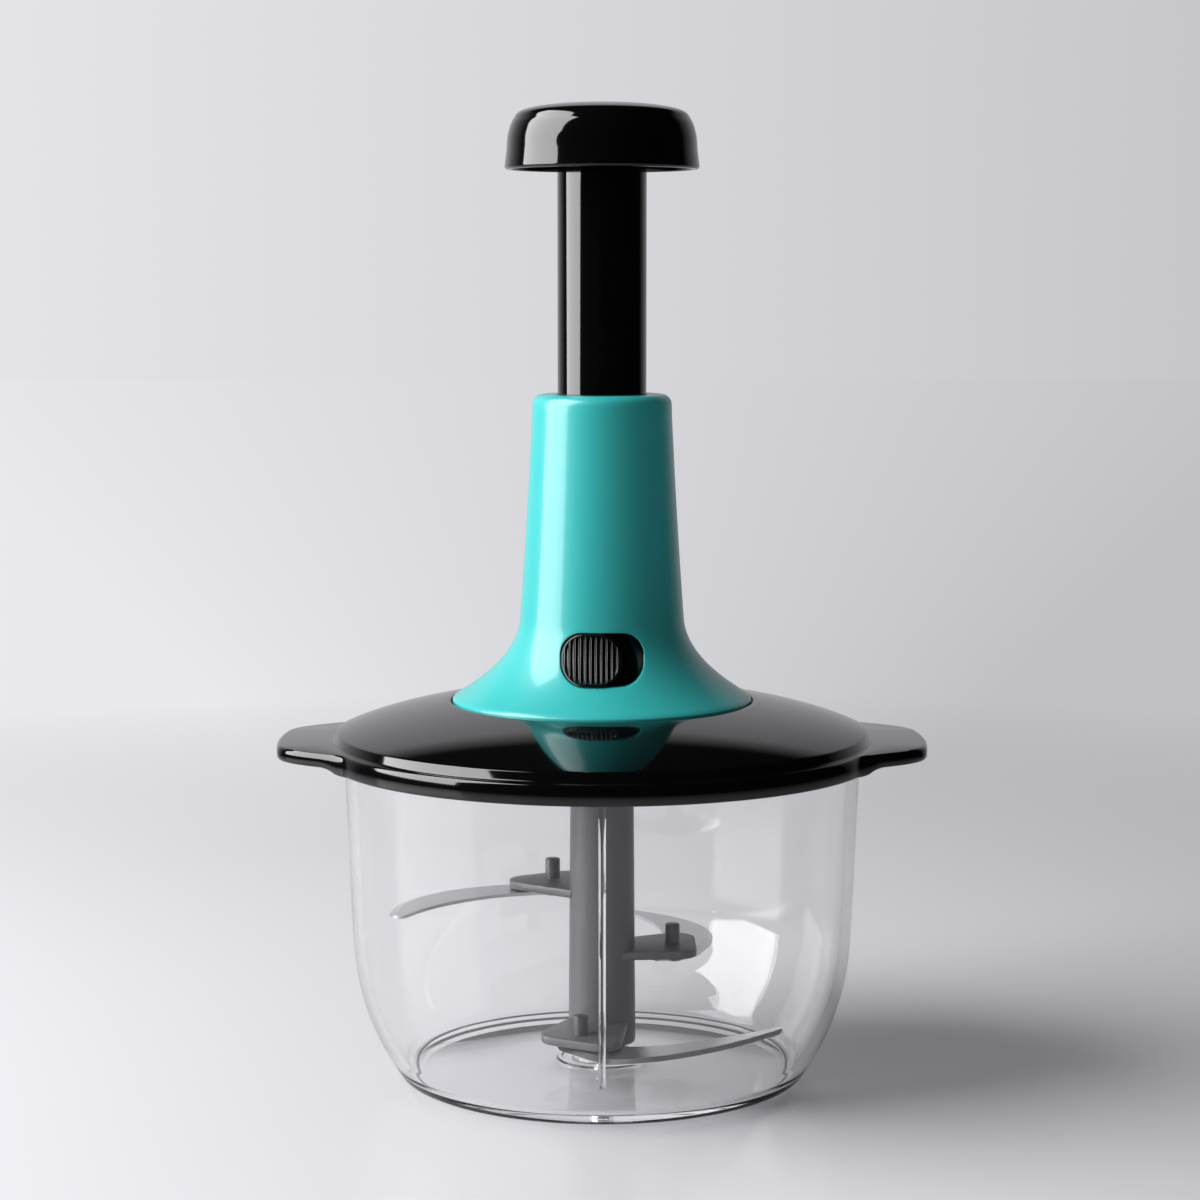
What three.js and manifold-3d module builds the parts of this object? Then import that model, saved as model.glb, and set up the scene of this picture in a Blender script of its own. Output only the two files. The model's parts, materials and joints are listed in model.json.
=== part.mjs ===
// A hand push chopper: pressing the knob drives a nut down a twisted spindle, which turns three
// curved blades inside a clear bowl. Millimetres, +Z up, the origin at the middle of the bowl's
// foot. The lock button is on the front, at -Y, and the lid's two ears are on the X axis.

import * as THREE from 'three';
import { mergeVertices } from 'three/addons/utils/BufferGeometryUtils.js';
import Module from 'manifold-3d';

const wasm = await Module();
wasm.setup();

// Clearances between pieces
const seatGap = 0.3;
const runGap = 0.4;
const overlap = 0.5;

// Bowl
const bowlHeight = 99.6;
const bowlRimRadius = 77.7;
const bowlWall = 3.2;
const shoulderRadius = 75.5;
const shoulderHeight = 43.3;
const footRadius = 59.5;
const footWidth = 2.6;
const footRound = 1;
const floorTop = 3.5;
const floorThickness = 2.2;
const bossRadius = 8.5;
const bossHeight = 1.5;

// Pin that the blades turn on
const pinRadius = 2.2;
const pinTop = 24;
const pinSeatHeight = 2.2;

// Lid
const skirtDrop = 3.3;
const rimThickness = 6.2;
const rimRound = 1.4;
const rimOverhang = 5.3;
const earReach = 14.8;
const earFlatAngle = 9;
const earBlendAngle = 27;
const earLift = 1.9;
const earWall = 2.4;
const lidWall = 2.5;
const domeInset = 3.2;
const domeCrown = 12;
const domeCrownDrop = 3.7;
const domeFootHeight = 2.7;
const domeRise = 9.1;
const sealHeight = 2.8;
const plugWall = 2.2;
const plugDrop = 2.4;
const plateThickness = 2.6;
const recessDepth = 2.3;

// Hub under the lid, which holds the clutch
const hubRadius = 12.4;
const hubWall = 2.6;
const hubDepth = 21.4;
const hubCapThickness = 2.4;
const coverThickness = 1.8;
const coverDrop = 1.4;

// Tower
const towerBaseRadius = 45;
const towerHeight = 93.8;
const towerWall = 2.3;
const neckRadius = 20.9;
const waistRadius = 24.7;
const waistHeight = 25.9;
const mouthFlange = 2.7;
const screwCircle = 36;
const screwBossRadius = 3.6;
const screwShankRadius = 1.5;
const screwHeadRadius = 3.1;
const screwHeadHeight = 2;
const screwLength = 8;

// Plunger
const tubeRadius = 13.25;
const tubeWall = 2;
const tubeTopWall = 4.2;
const tubeTopBore = 7.5;
const knobRadius = 28.9;
const knobHeight = 18.7;
const knobWall = 2.2;
const knobTopWall = 3;
const knobLipRound = 0.7;
const knobHollowRadius = 22.5;
const knobCollarWall = 2;
const knobCollarDepth = 9;
const plungerRise = 85.7;
const stroke = 60;
const pressedGap = 1.2;
const knobCoreHeight = 3.6;
const keyWidth = 2.8;
const keyDepth = 1;
const guideBushHeight = 13;

// Twisted drive
const lead = 40;
const twistHalfWidth = 4.6;
const twistHalfThickness = 1.9;
const twistChamfer = 0.8;
const twistStep = 1.6;
const nutHeight = 8.3;
const nutLift = 1.5;
const nutPinRadius = 1.2;
const nutPinSink = 2.6;
const journalRadius = 3;
const collarRadius = 7;
const collarHeight = 1.6;
const washerThickness = 0.8;
const bushWall = 2.5;
const bushFlangeRadius = 9;
const bushFlangeHeight = 1.2;
const bearingPlateRadius = 30;
const bearingPlateThickness = 2;
const postRadius = 1.3;
const postHeight = 7;
const postSide = 9.6;
const postStandOff = 5;
const spigotDepth = 2.2;
const spindleTipRadius = 1.85;
const spindleTipHeight = 4.3;
const cupFlangeRadius = 9.8;
const cupFlangeHeight = 1.5;
const cupHubRadius = 5;
const springRadius = 8.4;
const springWireRadius = 0.7;
const springTurns = 10;

// Clutch
const clutchRadius = 10.6;
const clutchDiscHeight = 2.6;
const dogCount = 6;
const dogHeight = 2.2;
const dogWidth = 2;
const dogInnerRadius = 5.8;
const dogLag = 24;
const clutchRoom = 9.2;
const footProud = 0.7;
const footHexRadius = 2.9;
const outputShaftRadius = 5;
const outputHexRadius = 4.9;
const outputHexLength = 13.6;
const clutchSpringRadius = 8.2;
const clutchSpringWire = 0.55;
const clutchSpringTurns = 3;

// Lock
const lockAngle = 11;
const slotWidth = 25.2;
const slotHeight = 15.4;
const slotCorner = 6.8;
const slotCentreHeight = 17.5;
const buttonWidth = 18.2;
const buttonMargin = 0.6;
const buttonCorner = 6.2;
const ribPitch = 1.56;
const ribGap = 0.7;
const ribDepth = 0.8;
const lockPlateThickness = 1.6;
const lockPlateLap = 1.7;
const lockRingWall = 2.4;
const fingerWidth = 3.6;
const fingerHeight = 4;
const fingerBase = 12.2;
const latchArmWidth = 8;
const latchArmReach = 16;
const lugThickness = 1.6;
const lugReach = 4.4;
const lugSink = 0.8;
const notchRadius = 1;
const notchSink = 0.6;
const detentLeafThickness = 0.5;
const detentLeafWidth = 4;
const detentLeafEnd = 10.6;
const detentLeafBend = 6;
const detentBumpWidth = 2.4;
const detentBumpFlank = 1.4;

// Blades and their column
const columnFootRadius = 10.2;
const columnTopRadius = 9.6;
const columnFoot = 8.8;
const columnWall = 2;
const armRoot = 2;
const armRootHalfWidth = 9.8;
const armCorner = 6;
const armTrailingCorner = [22, -6.2];
const armLeadingCorner = [25.2, 7.3];
const armThickness = 2.6;
const bladeThickness = 1;
const bladeBevel = 3;
const pegRadius = 2.25;
const pegHeight = 6;
const pegCircle = 22.2;
const pegHeadRadius = 3.6;
const pegHeadHeight = 1;
const bladeLevels = [
  { name: 'lower', armTop: 16.3, azimuth: 253.5, rise: 12 },
  { name: 'middle', armTop: 38.3, azimuth: 13.5, rise: 0 },
  { name: 'upper', armTop: 56.4, azimuth: 133.5, rise: 0 },
];
const bladeStations = 16;
const bladeOuterEdge = [
  [20, -8.2], [28, -4.5], [33.5, 3.5], [38.2, 12], [41.8, 24], [41.8, 36.5], [37, 49.5], [27, 61],
];
const bladeInnerEdge = [
  [15.6, -7], [13, -1], [15.4, 5], [20.4, 11], [25, 22], [26.8, 35], [25.4, 48], [21, 61],
];

// Facets round each turned piece
const wideFacets = 32;
const middleFacets = 24;
const smallFacets = 12;
const screwFacets = 10;
const flareFacets = 36;

// Radii and heights that follow from the sizes above
const lidRadius = bowlRimRadius + rimOverhang;
const earRadius = lidRadius + earReach;
const domeRadius = lidRadius - domeInset;
const lidBottom = bowlHeight - skirtDrop;
const rimTop = lidBottom + rimThickness;
const domeFoot = rimTop + domeFootHeight;
const domeTop = domeFoot + domeRise;
const plateTop = domeTop - recessDepth;
const plateBottom = plateTop - plateThickness;
const hubBottom = plateBottom - hubDepth;
const towerBase = plateTop + seatGap;
const towerTop = towerBase + towerHeight;
const knobTop = towerTop + plungerRise;
const knobLip = knobTop - knobHeight;
const tubeTop = knobTop - knobTopWall - seatGap;
const bearingTop = towerBase + bearingPlateThickness;
const bushFlangeTop = bearingTop + seatGap + bushFlangeHeight;
const washerBottom = bushFlangeTop + seatGap;
const collarBottom = washerBottom + washerThickness + seatGap;
const collarTop = collarBottom + collarHeight;
const tubeFoot = collarTop + pressedGap + stroke;
const nutBottom = tubeFoot + nutLift;
const nutTop = nutBottom + nutHeight;
const cupBottom = nutTop + runGap + seatGap;
const spindleTop = cupBottom - seatGap;
const springSeat = cupBottom + cupFlangeHeight + seatGap;
const coreTop = tubeTop - tubeTopWall - seatGap;
const coreBottom = coreTop - knobCoreHeight;
const columnTop = hubBottom - 2 * seatGap;
const clutchFace = hubBottom + hubCapThickness + clutchRoom;
const driverBase = clutchFace + dogHeight + runGap;
const tubeBore = tubeRadius - tubeWall;
const lockRingBore = tubeRadius + 2 * runGap;
const lockRingRadius = lockRingBore + lockRingWall;
const fingerBottom = bearingTop + seatGap + fingerBase;
const slotCentre = towerBase + slotCentreHeight;

const radians = THREE.MathUtils.degToRad;

// Shape helpers

function toSolid(geometry) {
  const bare = geometry.clone();
  bare.deleteAttribute('normal');
  bare.deleteAttribute('uv');
  const merged = mergeVertices(bare, 1e-4);
  const index = merged.index.array;
  const triangles = [];
  for (let i = 0; i < index.length; i += 3) {
    const [a, b, c] = [index[i], index[i + 1], index[i + 2]];
    if (a !== b && b !== c && c !== a) triangles.push(a, b, c);
  }
  const mesh = new wasm.Mesh({
    numProp: 3,
    vertProperties: Float32Array.from(merged.attributes.position.array),
    triVerts: Uint32Array.from(triangles),
  });
  return new wasm.Manifold(mesh);
}

function toGeometry(solid) {
  const mesh = solid.getMesh();
  const geometry = new THREE.BufferGeometry();
  geometry.setAttribute('position', new THREE.BufferAttribute(Float32Array.from(mesh.vertProperties), 3));
  geometry.setIndex(Array.from(mesh.triVerts));
  geometry.computeVertexNormals();
  return geometry;
}

function join(...geometries) {
  const [first, ...rest] = geometries.map(toSolid);
  return toGeometry(rest.reduce((whole, piece) => whole.add(piece), first));
}

function cut(geometry, ...tools) {
  return toGeometry(tools.map(toSolid).reduce((rest, tool) => rest.subtract(tool), toSolid(geometry)));
}

function common(a, b) {
  return toGeometry(toSolid(a).intersect(toSolid(b)));
}

// Turns a closed profile of [radius, height] points round the Z axis, with its faces outward.
function revolve(profile, facets) {
  const points = profile.map(([radius, height]) => new THREE.Vector2(radius, height));
  const onAxis = points[0].x === 0 && points[points.length - 1].x === 0;
  if (!onAxis) points.push(points[0].clone());
  if (THREE.ShapeUtils.area(points) < 0) points.reverse();
  return new THREE.LatheGeometry(points, facets).rotateX(Math.PI / 2);
}

function ring(inner, outer, bottom, top, facets) {
  return revolve([[inner, bottom], [outer, bottom], [outer, top], [inner, top]], facets);
}

function disc(radius, bottom, top, facets = smallFacets) {
  return revolve([[0, bottom], [radius, bottom], [radius, top], [0, top]], facets);
}

function box(width, depth, bottom, top) {
  return new THREE.BoxGeometry(width, depth, top - bottom).translate(0, 0, (bottom + top) / 2);
}

function prism(shape, bottom, top) {
  return new THREE.ExtrudeGeometry(shape, {
    depth: top - bottom,
    bevelEnabled: false,
    curveSegments: 4,
  }).translate(0, 0, bottom);
}

function hexagon(radius) {
  const corners = [];
  for (let side = 0; side < 6; side += 1) {
    const angle = (side * Math.PI) / 3;
    corners.push(new THREE.Vector2(radius * Math.cos(angle), radius * Math.sin(angle)));
  }
  return new THREE.Shape(corners);
}

function roundedRectangle(left, right, bottom, top, corner) {
  const shape = new THREE.Shape();
  shape.moveTo(left + corner, bottom);
  shape.lineTo(right - corner, bottom);
  shape.absarc(right - corner, bottom + corner, corner, -Math.PI / 2, 0, false);
  shape.lineTo(right, top - corner);
  shape.absarc(right - corner, top - corner, corner, 0, Math.PI / 2, false);
  shape.lineTo(left + corner, top);
  shape.absarc(left + corner, top - corner, corner, Math.PI / 2, Math.PI, false);
  shape.lineTo(left, bottom + corner);
  shape.absarc(left + corner, bottom + corner, corner, Math.PI, 1.5 * Math.PI, false);
  return shape;
}

function bezier(steps, ...points) {
  const vectors = points.map(([x, y]) => new THREE.Vector2(x, y));
  const curve = vectors.length === 4
    ? new THREE.CubicBezierCurve(...vectors)
    : new THREE.QuadraticBezierCurve(...vectors);
  return curve.getPoints(steps).map((point) => [point.x, point.y]);
}

// Moves an open outline sideways, to the left of its direction for a positive distance.
function offset(outline, distance) {
  return outline.map(([x, y], i) => {
    const [beforeX, beforeY] = outline[Math.max(i - 1, 0)];
    const [afterX, afterY] = outline[Math.min(i + 1, outline.length - 1)];
    const length = Math.hypot(afterX - beforeX, afterY - beforeY);
    const normalX = -(afterY - beforeY) / length;
    const normalY = (afterX - beforeX) / length;
    return [x + normalX * distance, y + normalY * distance];
  });
}

function everyOther(outline) {
  return outline.filter((point, i) => i % 2 === 0 || i === outline.length - 1);
}

function twisted(geometry) {
  const position = geometry.attributes.position;
  const point = new THREE.Vector3();
  const up = new THREE.Vector3(0, 0, 1);
  for (let i = 0; i < position.count; i += 1) {
    point.fromBufferAttribute(position, i);
    point.applyAxisAngle(up, (-2 * Math.PI * point.z) / lead);
    position.setXYZ(i, point.x, point.y, point.z);
  }
  return geometry;
}

function twistedBar(grow, bottom, top) {
  const halfWidth = twistHalfWidth + grow;
  const halfThickness = twistHalfThickness + grow;
  const corners = [];
  for (const [sx, sy] of [[1, 1], [-1, 1], [-1, -1], [1, -1]]) {
    const side = new THREE.Vector2(sx * halfWidth, sy * (halfThickness - twistChamfer));
    const face = new THREE.Vector2(sx * (halfWidth - twistChamfer), sy * halfThickness);
    const middle = new THREE.Vector2(0, sy * halfThickness);
    corners.push(...(sx * sy > 0 ? [side, face, middle] : [face, side]));
  }
  const steps = Math.ceil((top - bottom) / twistStep);
  const bar = new THREE.ExtrudeGeometry(new THREE.Shape(corners), {
    depth: top - bottom,
    steps,
    bevelEnabled: false,
  });
  return twisted(bar.translate(0, 0, bottom));
}

// A coil spring with a closed turn at each end.
class Coil extends THREE.Curve {
  constructor(radius, bottom, top, turns, wire) {
    super();
    Object.assign(this, { radius, bottom, top, turns, wire });
    this.arcLengthDivisions = turns * 40;
  }

  getPoint(t, target = new THREE.Vector3()) {
    const turn = t * this.turns;
    const closedRise = 2.1 * this.wire;
    const openRise = this.top - this.bottom - 2 * closedRise;
    const openTurn = THREE.MathUtils.clamp((turn - 1) / (this.turns - 2), 0, 1);
    const closedTurns = Math.min(turn, 1) + Math.max(turn - this.turns + 1, 0);
    const angle = turn * 2 * Math.PI;
    return target.set(
      this.radius * Math.cos(angle),
      this.radius * Math.sin(angle),
      this.bottom + openRise * openTurn + closedRise * closedTurns,
    );
  }
}

function coilSpring(radius, bottom, top, turns, wire) {
  const section = [];
  for (let side = 0; side < 5; side += 1) {
    const angle = (side * 2 * Math.PI) / 5;
    section.push(new THREE.Vector2(wire * Math.cos(angle), wire * Math.sin(angle)));
  }
  return new THREE.ExtrudeGeometry(new THREE.Shape(section), {
    steps: turns * 7,
    extrudePath: new Coil(radius, bottom + wire, top - wire, turns, wire),
  });
}

// Skins a row of sections, each a loop with the same number of points, and closes both ends.
function loft(sections) {
  const count = sections[0].length;
  const positions = sections.flat().flatMap((point) => [point.x, point.y, point.z]);
  const index = [];
  for (let s = 0; s < sections.length - 1; s += 1) {
    for (let i = 0; i < count; i += 1) {
      const next = (i + 1) % count;
      const [a, b] = [s * count + i, s * count + next];
      index.push(a, b + count, b, a, a + count, b + count);
    }
  }
  const last = (sections.length - 1) * count;
  for (let i = 1; i < count - 1; i += 1) {
    index.push(0, i, i + 1);
    index.push(last, last + i + 1, last + i);
  }
  const geometry = new THREE.BufferGeometry();
  geometry.setAttribute('position', new THREE.Float32BufferAttribute(positions, 3));
  geometry.setIndex(index);
  return geometry;
}

// Finishes
const finish = {
  clear: { color: 0xe6eaec, roughness: 0.05, metalness: 0, transparent: true, opacity: 0.35 },
  blackGloss: { color: 0x0b0b0d, roughness: 0.14, metalness: 0 },
  teal: { color: 0x2fb5ae, roughness: 0.2, metalness: 0 },
  greyPlastic: { color: 0x6f7073, roughness: 0.45, metalness: 0 },
  steel: { color: 0xb9bcbf, roughness: 0.3, metalness: 1 },
  acetal: { color: 0xe8e6df, roughness: 0.4, metalness: 0 },
  silicone: { color: 0xd6d8d8, roughness: 0.6, metalness: 0 },
};

const chopper = new THREE.Group();

function place(name, geometry, look) {
  const mesh = new THREE.Mesh(geometry, new THREE.MeshStandardMaterial(finish[look]));
  mesh.name = name;
  chopper.add(mesh);
  return mesh;
}

// Bowl

function bowlOutline() {
  const start = [footRadius + 2 * footRound, footRound];
  const curve = bezier(6, start,
    [footRadius + 10.3, 13.5], [shoulderRadius - 0.8, shoulderHeight - 18],
    [shoulderRadius, shoulderHeight]);
  return [...curve, [(shoulderRadius + bowlRimRadius) / 2, (shoulderHeight + bowlHeight) / 2],
    [bowlRimRadius, bowlHeight - 1]];
}

function makeBowl() {
  const outside = bowlOutline();
  const inside = everyOther(offset(outside, bowlWall).filter(([, height]) => height > floorTop + 2));
  const underside = floorTop - floorThickness;
  const bossTop = floorTop + bossHeight;
  const pinHole = pinRadius + seatGap;
  return revolve([
    [0, underside],
    [footRadius - footWidth, underside],
    [footRadius - footWidth + footRound, 0],
    [footRadius, 0],
    ...outside,
    [bowlRimRadius - 0.5, bowlHeight],
    [bowlRimRadius - bowlWall + 0.5, bowlHeight],
    ...inside.reverse(),
    [footRadius + 0.4, floorTop + 0.6],
    [footRadius - 1.6, floorTop],
    [bossRadius + 0.6, floorTop],
    [bossRadius, bossTop],
    [pinHole, bossTop],
    [pinHole, pinSeatHeight],
    [0, pinSeatHeight],
  ], wideFacets);
}

function makeBowlPin() {
  const bottom = pinSeatHeight + seatGap;
  return revolve([
    [0, bottom],
    [pinRadius, bottom],
    [pinRadius, pinTop - pinRadius / 2],
    [pinRadius / 2, pinTop],
    [0, pinTop],
  ], smallFacets);
}

// Lid

// The lid's plan: a circle with an ear at each end of the X axis, with more points near the ears.
function rimOutline(inset) {
  const perQuarter = 12;
  const points = [];
  for (let i = 0; i < 4 * perQuarter; i += 1) {
    const quarter = Math.floor(i / perQuarter);
    const share = (i % perQuarter) / perQuarter;
    const leaving = quarter % 2 === 0;
    const offEar = 90 * (leaving ? share : 1 - share) ** 1.35;
    const turn = radians(leaving ? 90 * quarter + offEar : 90 * (quarter + 1) - offEar);
    const blend = 1 - THREE.MathUtils.smoothstep(offEar, earFlatAngle, earBlendAngle);
    const radius = lidRadius + (earRadius - lidRadius) * blend - inset;
    points.push(new THREE.Vector2(radius * Math.cos(turn), radius * Math.sin(turn)));
  }
  return points;
}

function makeLidRim() {
  const plate = new THREE.ExtrudeGeometry(new THREE.Shape(rimOutline(0)), {
    depth: rimThickness - 2 * rimRound,
    bevelThickness: rimRound,
    bevelSize: rimRound,
    bevelOffset: -rimRound,
    bevelSegments: 1,
  }).translate(0, 0, lidBottom + rimRound);
  return cut(plate, disc(bowlRimRadius + 2.5, lidBottom - 1, rimTop + 1, wideFacets));
}

function makeLid() {
  const dome = bezier(5, [towerBaseRadius + 2 * seatGap, domeTop],
    [domeRadius - domeCrown, domeTop - domeCrownDrop], [domeRadius, domeFoot]);
  const channelTop = bowlHeight + sealHeight + 2 * seatGap;
  const channelOuter = bowlRimRadius + 2 * seatGap;
  const channelInner = bowlRimRadius - bowlWall - 2 * seatGap;
  const plugInner = channelInner - plugWall;
  const hollow = offset(dome, -lidWall).filter(([radius]) => radius < plugInner - 1 && radius > 48);
  const shell = revolve([
    [hubRadius, plateTop],
    [towerBaseRadius + 2 * seatGap, plateTop],
    ...dome,
    [domeRadius + 1, rimTop],
    [domeRadius + 1, lidBottom + 0.4],
    [channelOuter, lidBottom + 0.4],
    [channelOuter, channelTop],
    [channelInner, channelTop],
    [channelInner, bowlHeight - plugDrop],
    [plugInner, bowlHeight - plugDrop],
    [plugInner, channelTop + 1.4],
    ...hollow.reverse(),
    [towerBaseRadius - 1, plateBottom],
    [hubRadius + hubWall, plateBottom],
    [hubRadius + hubWall, hubBottom],
    [hubRadius, hubBottom],
  ], wideFacets);
  const undercut = revolve([
    [lidRadius + 1, lidBottom - 5],
    [lidRadius + 1, lidBottom],
    [lidRadius + 4, lidBottom + earLift],
    [earRadius + 5, lidBottom + earLift],
    [earRadius + 5, lidBottom - 5],
  ], wideFacets);
  const pocket = cut(
    prism(new THREE.Shape(rimOutline(earWall)), lidBottom - 1, rimTop - earWall),
    disc(lidRadius + 0.5, lidBottom - 2, rimTop, wideFacets),
  );
  const screwHoles = screwPlaces().map(([x, y]) => (
    disc(screwShankRadius + runGap, plateBottom - 1, plateTop + 1, screwFacets).translate(x, y, 0)
  ));
  return cut(join(shell, makeLidRim()), undercut, pocket, ...screwHoles);
}

function makeLidSeal() {
  const bottom = bowlHeight + seatGap;
  const inner = bowlRimRadius - bowlWall - seatGap;
  const outer = bowlRimRadius + seatGap;
  return revolve([
    [inner, bottom + sealHeight / 3],
    [(inner + outer) / 2, bottom],
    [outer, bottom + sealHeight / 3],
    [outer, bottom + sealHeight],
    [inner, bottom + sealHeight],
  ], wideFacets);
}

function makeLidCover() {
  const bottom = bowlHeight - coverDrop;
  const outer = bowlRimRadius - bowlWall - 2 * seatGap - plugWall - seatGap;
  const inner = hubRadius + hubWall + seatGap;
  return revolve([
    [inner, bottom],
    [outer, bottom],
    [outer, bottom + 2 * coverThickness],
    [outer - coverThickness, bottom + 2 * coverThickness],
    [outer - coverThickness, bottom + coverThickness],
    [inner, bottom + coverThickness],
  ], wideFacets);
}

function makeHubCap() {
  return ring(outputShaftRadius + runGap, hubRadius - seatGap, hubBottom, hubBottom + hubCapThickness,
    smallFacets);
}

// Tower

function screwPlaces() {
  return [90, 210, 330].map((azimuth) => [
    screwCircle * Math.cos(radians(azimuth)),
    screwCircle * Math.sin(radians(azimuth)),
  ]);
}

// The tower's outside from its base to its mouth.
function towerOutline() {
  const waist = towerBase + waistHeight;
  const flare = bezier(6, [towerBaseRadius - 0.8, towerBase + 3.2],
    [towerBaseRadius - 9.3, towerBase + 8.5], [waistRadius + 1.2, waist - 10], [waistRadius, waist]);
  const neck = bezier(3, [waistRadius, waist], [waistRadius - 2.1, waist + 26.8],
    [neckRadius, towerTop - 6]);
  const round = bezier(3, [neckRadius - 0.1, towerTop - 3.6], [neckRadius - 0.2, towerTop],
    [neckRadius - 3.6, towerTop]);
  return { flare, neck: neck.slice(1), round };
}

function makeTower() {
  const { flare, neck, round } = towerOutline();
  const bushSeat = neckRadius - towerWall - 0.6;
  const flangeBottom = towerTop - mouthFlange;
  const wallTop = flangeBottom - guideBushHeight;
  const inside = everyOther(offset([...flare, ...neck], towerWall)
    .filter(([, height]) => height > towerBase + 1 && height < wallTop - 1));
  const shell = revolve([
    [towerBaseRadius - 2.4, towerBase],
    [towerBaseRadius - 0.3, towerBase],
    [towerBaseRadius, towerBase + 0.5],
    [towerBaseRadius, towerBase + 1.6],
    ...flare,
    ...neck,
    ...round,
    [tubeRadius + runGap + 0.6, towerTop],
    [tubeRadius + runGap, towerTop - 0.6],
    [tubeRadius + runGap, flangeBottom],
    [bushSeat, flangeBottom],
    [bushSeat, wallTop],
    ...inside.reverse(),
  ], middleFacets);
  const filled = everyOther(offset([...flare, ...neck], towerWall / 2));
  const core = revolve([
    [0, towerBase],
    [towerBaseRadius - 2, towerBase],
    ...filled,
    [0, filled[filled.length - 1][1]],
  ], middleFacets);
  const bosses = screwPlaces().map(([x, y]) => common(core,
    disc(screwBossRadius, towerBase, towerBase + 12, screwFacets).translate(x, y, 0)));
  const screwHoles = screwPlaces().map(([x, y]) => (
    disc(screwShankRadius + seatGap, towerBase - 1, towerBase + screwLength - plateThickness, screwFacets)
      .translate(x, y, 0)
  ));
  return cut(join(shell, ...bosses), ...screwHoles, frontPrism(slotShape(), towerBaseRadius + 10));
}

function slotShape() {
  return roundedRectangle(-slotWidth / 2, slotWidth / 2, slotCentre - slotHeight / 2,
    slotCentre + slotHeight / 2, slotCorner);
}

// Stands a shape drawn in X and Z up as a prism that runs from near the axis out to the front.
function frontPrism(shape, reach) {
  return prism(shape, 0, reach - tubeRadius).rotateX(Math.PI / 2).translate(0, -tubeRadius, 0);
}

function makeHousingScrew([x, y]) {
  const headTop = plateBottom - seatGap;
  return revolve([
    [0, headTop - screwHeadHeight],
    [screwHeadRadius - 0.6, headTop - screwHeadHeight],
    [screwHeadRadius, headTop - screwHeadHeight + 0.6],
    [screwHeadRadius, headTop],
    [screwShankRadius, headTop],
    [screwShankRadius, headTop + screwLength],
    [0, headTop + screwLength],
  ], screwFacets).translate(x, y, 0);
}

function makeGuideBush() {
  const inner = tubeRadius + runGap;
  const outer = neckRadius - towerWall - 0.6 - seatGap;
  const top = towerTop - mouthFlange - seatGap;
  const bottom = top - guideBushHeight;
  const key = box(keyWidth, 2 + keyDepth, bottom + 1, top - 1)
    .translate(0, inner - keyDepth / 2 + 1 - runGap / 2, 0);
  return join(ring(inner, outer, bottom, top, middleFacets), key);
}

// Spindle bearing

function makeBearingPlate() {
  const bore = journalRadius + runGap + bushWall + seatGap;
  const plate = revolve([
    [bore, plateTop - spigotDepth],
    [hubRadius - seatGap, plateTop - spigotDepth],
    [hubRadius - seatGap, towerBase],
    [bearingPlateRadius, towerBase],
    [bearingPlateRadius, bearingTop],
    [bore, bearingTop],
  ], middleFacets);
  const posts = [-1, 1].map((side) => (
    disc(postRadius, bearingTop - overlap, bearingTop + postHeight, screwFacets)
      .translate(side * postSide, lockRingRadius + postStandOff, 0)
  ));
  return join(plate, ...posts);
}

function makeSpindleBush() {
  const inner = journalRadius + runGap;
  return revolve([
    [inner, plateTop - spigotDepth],
    [inner + bushWall, plateTop - spigotDepth],
    [inner + bushWall, bearingTop + seatGap],
    [bushFlangeRadius, bearingTop + seatGap],
    [bushFlangeRadius, bushFlangeTop],
    [inner, bushFlangeTop],
  ], smallFacets);
}

function makeThrustWasher() {
  return ring(journalRadius + runGap, bushFlangeRadius - 0.5, washerBottom, washerBottom + washerThickness,
    smallFacets);
}

// Plunger

function makeKnob() {
  const crown = new THREE.SplineCurve([
    [0, 0], [0.46, 0.016], [0.806, 0.107], [0.913, 0.262], [0.965, 0.497], [0.979, 0.738], [1, 1],
  ].map(([x, y]) => new THREE.Vector2(x * knobRadius, knobTop - y * knobHeight)))
    .getPoints(8).map((point) => [point.x, point.y]);
  const underTop = knobTop - knobTopWall;
  const skirt = everyOther(offset(crown, -knobWall)
    .filter(([, height]) => height < underTop - 0.8 && height > knobLip + 0.5));
  const collarBore = tubeRadius + runGap;
  const bossRim = tubeTopBore - runGap;
  const bossBottom = coreTop + seatGap;
  const hole = screwShankRadius + seatGap;
  return revolve([
    ...crown,
    [knobRadius - 0.5, knobLip - knobLipRound],
    [knobRadius - knobWall + 0.3, knobLip - knobLipRound],
    ...skirt.reverse(),
    [knobHollowRadius, underTop],
    [collarBore + knobCollarWall, underTop],
    [collarBore + knobCollarWall, underTop - knobCollarDepth],
    [collarBore, underTop - knobCollarDepth],
    [collarBore, underTop],
    [bossRim, underTop],
    [bossRim, bossBottom],
    [hole, bossBottom],
    [hole, underTop + 1],
    [0, underTop + 1],
  ], middleFacets);
}

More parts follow.
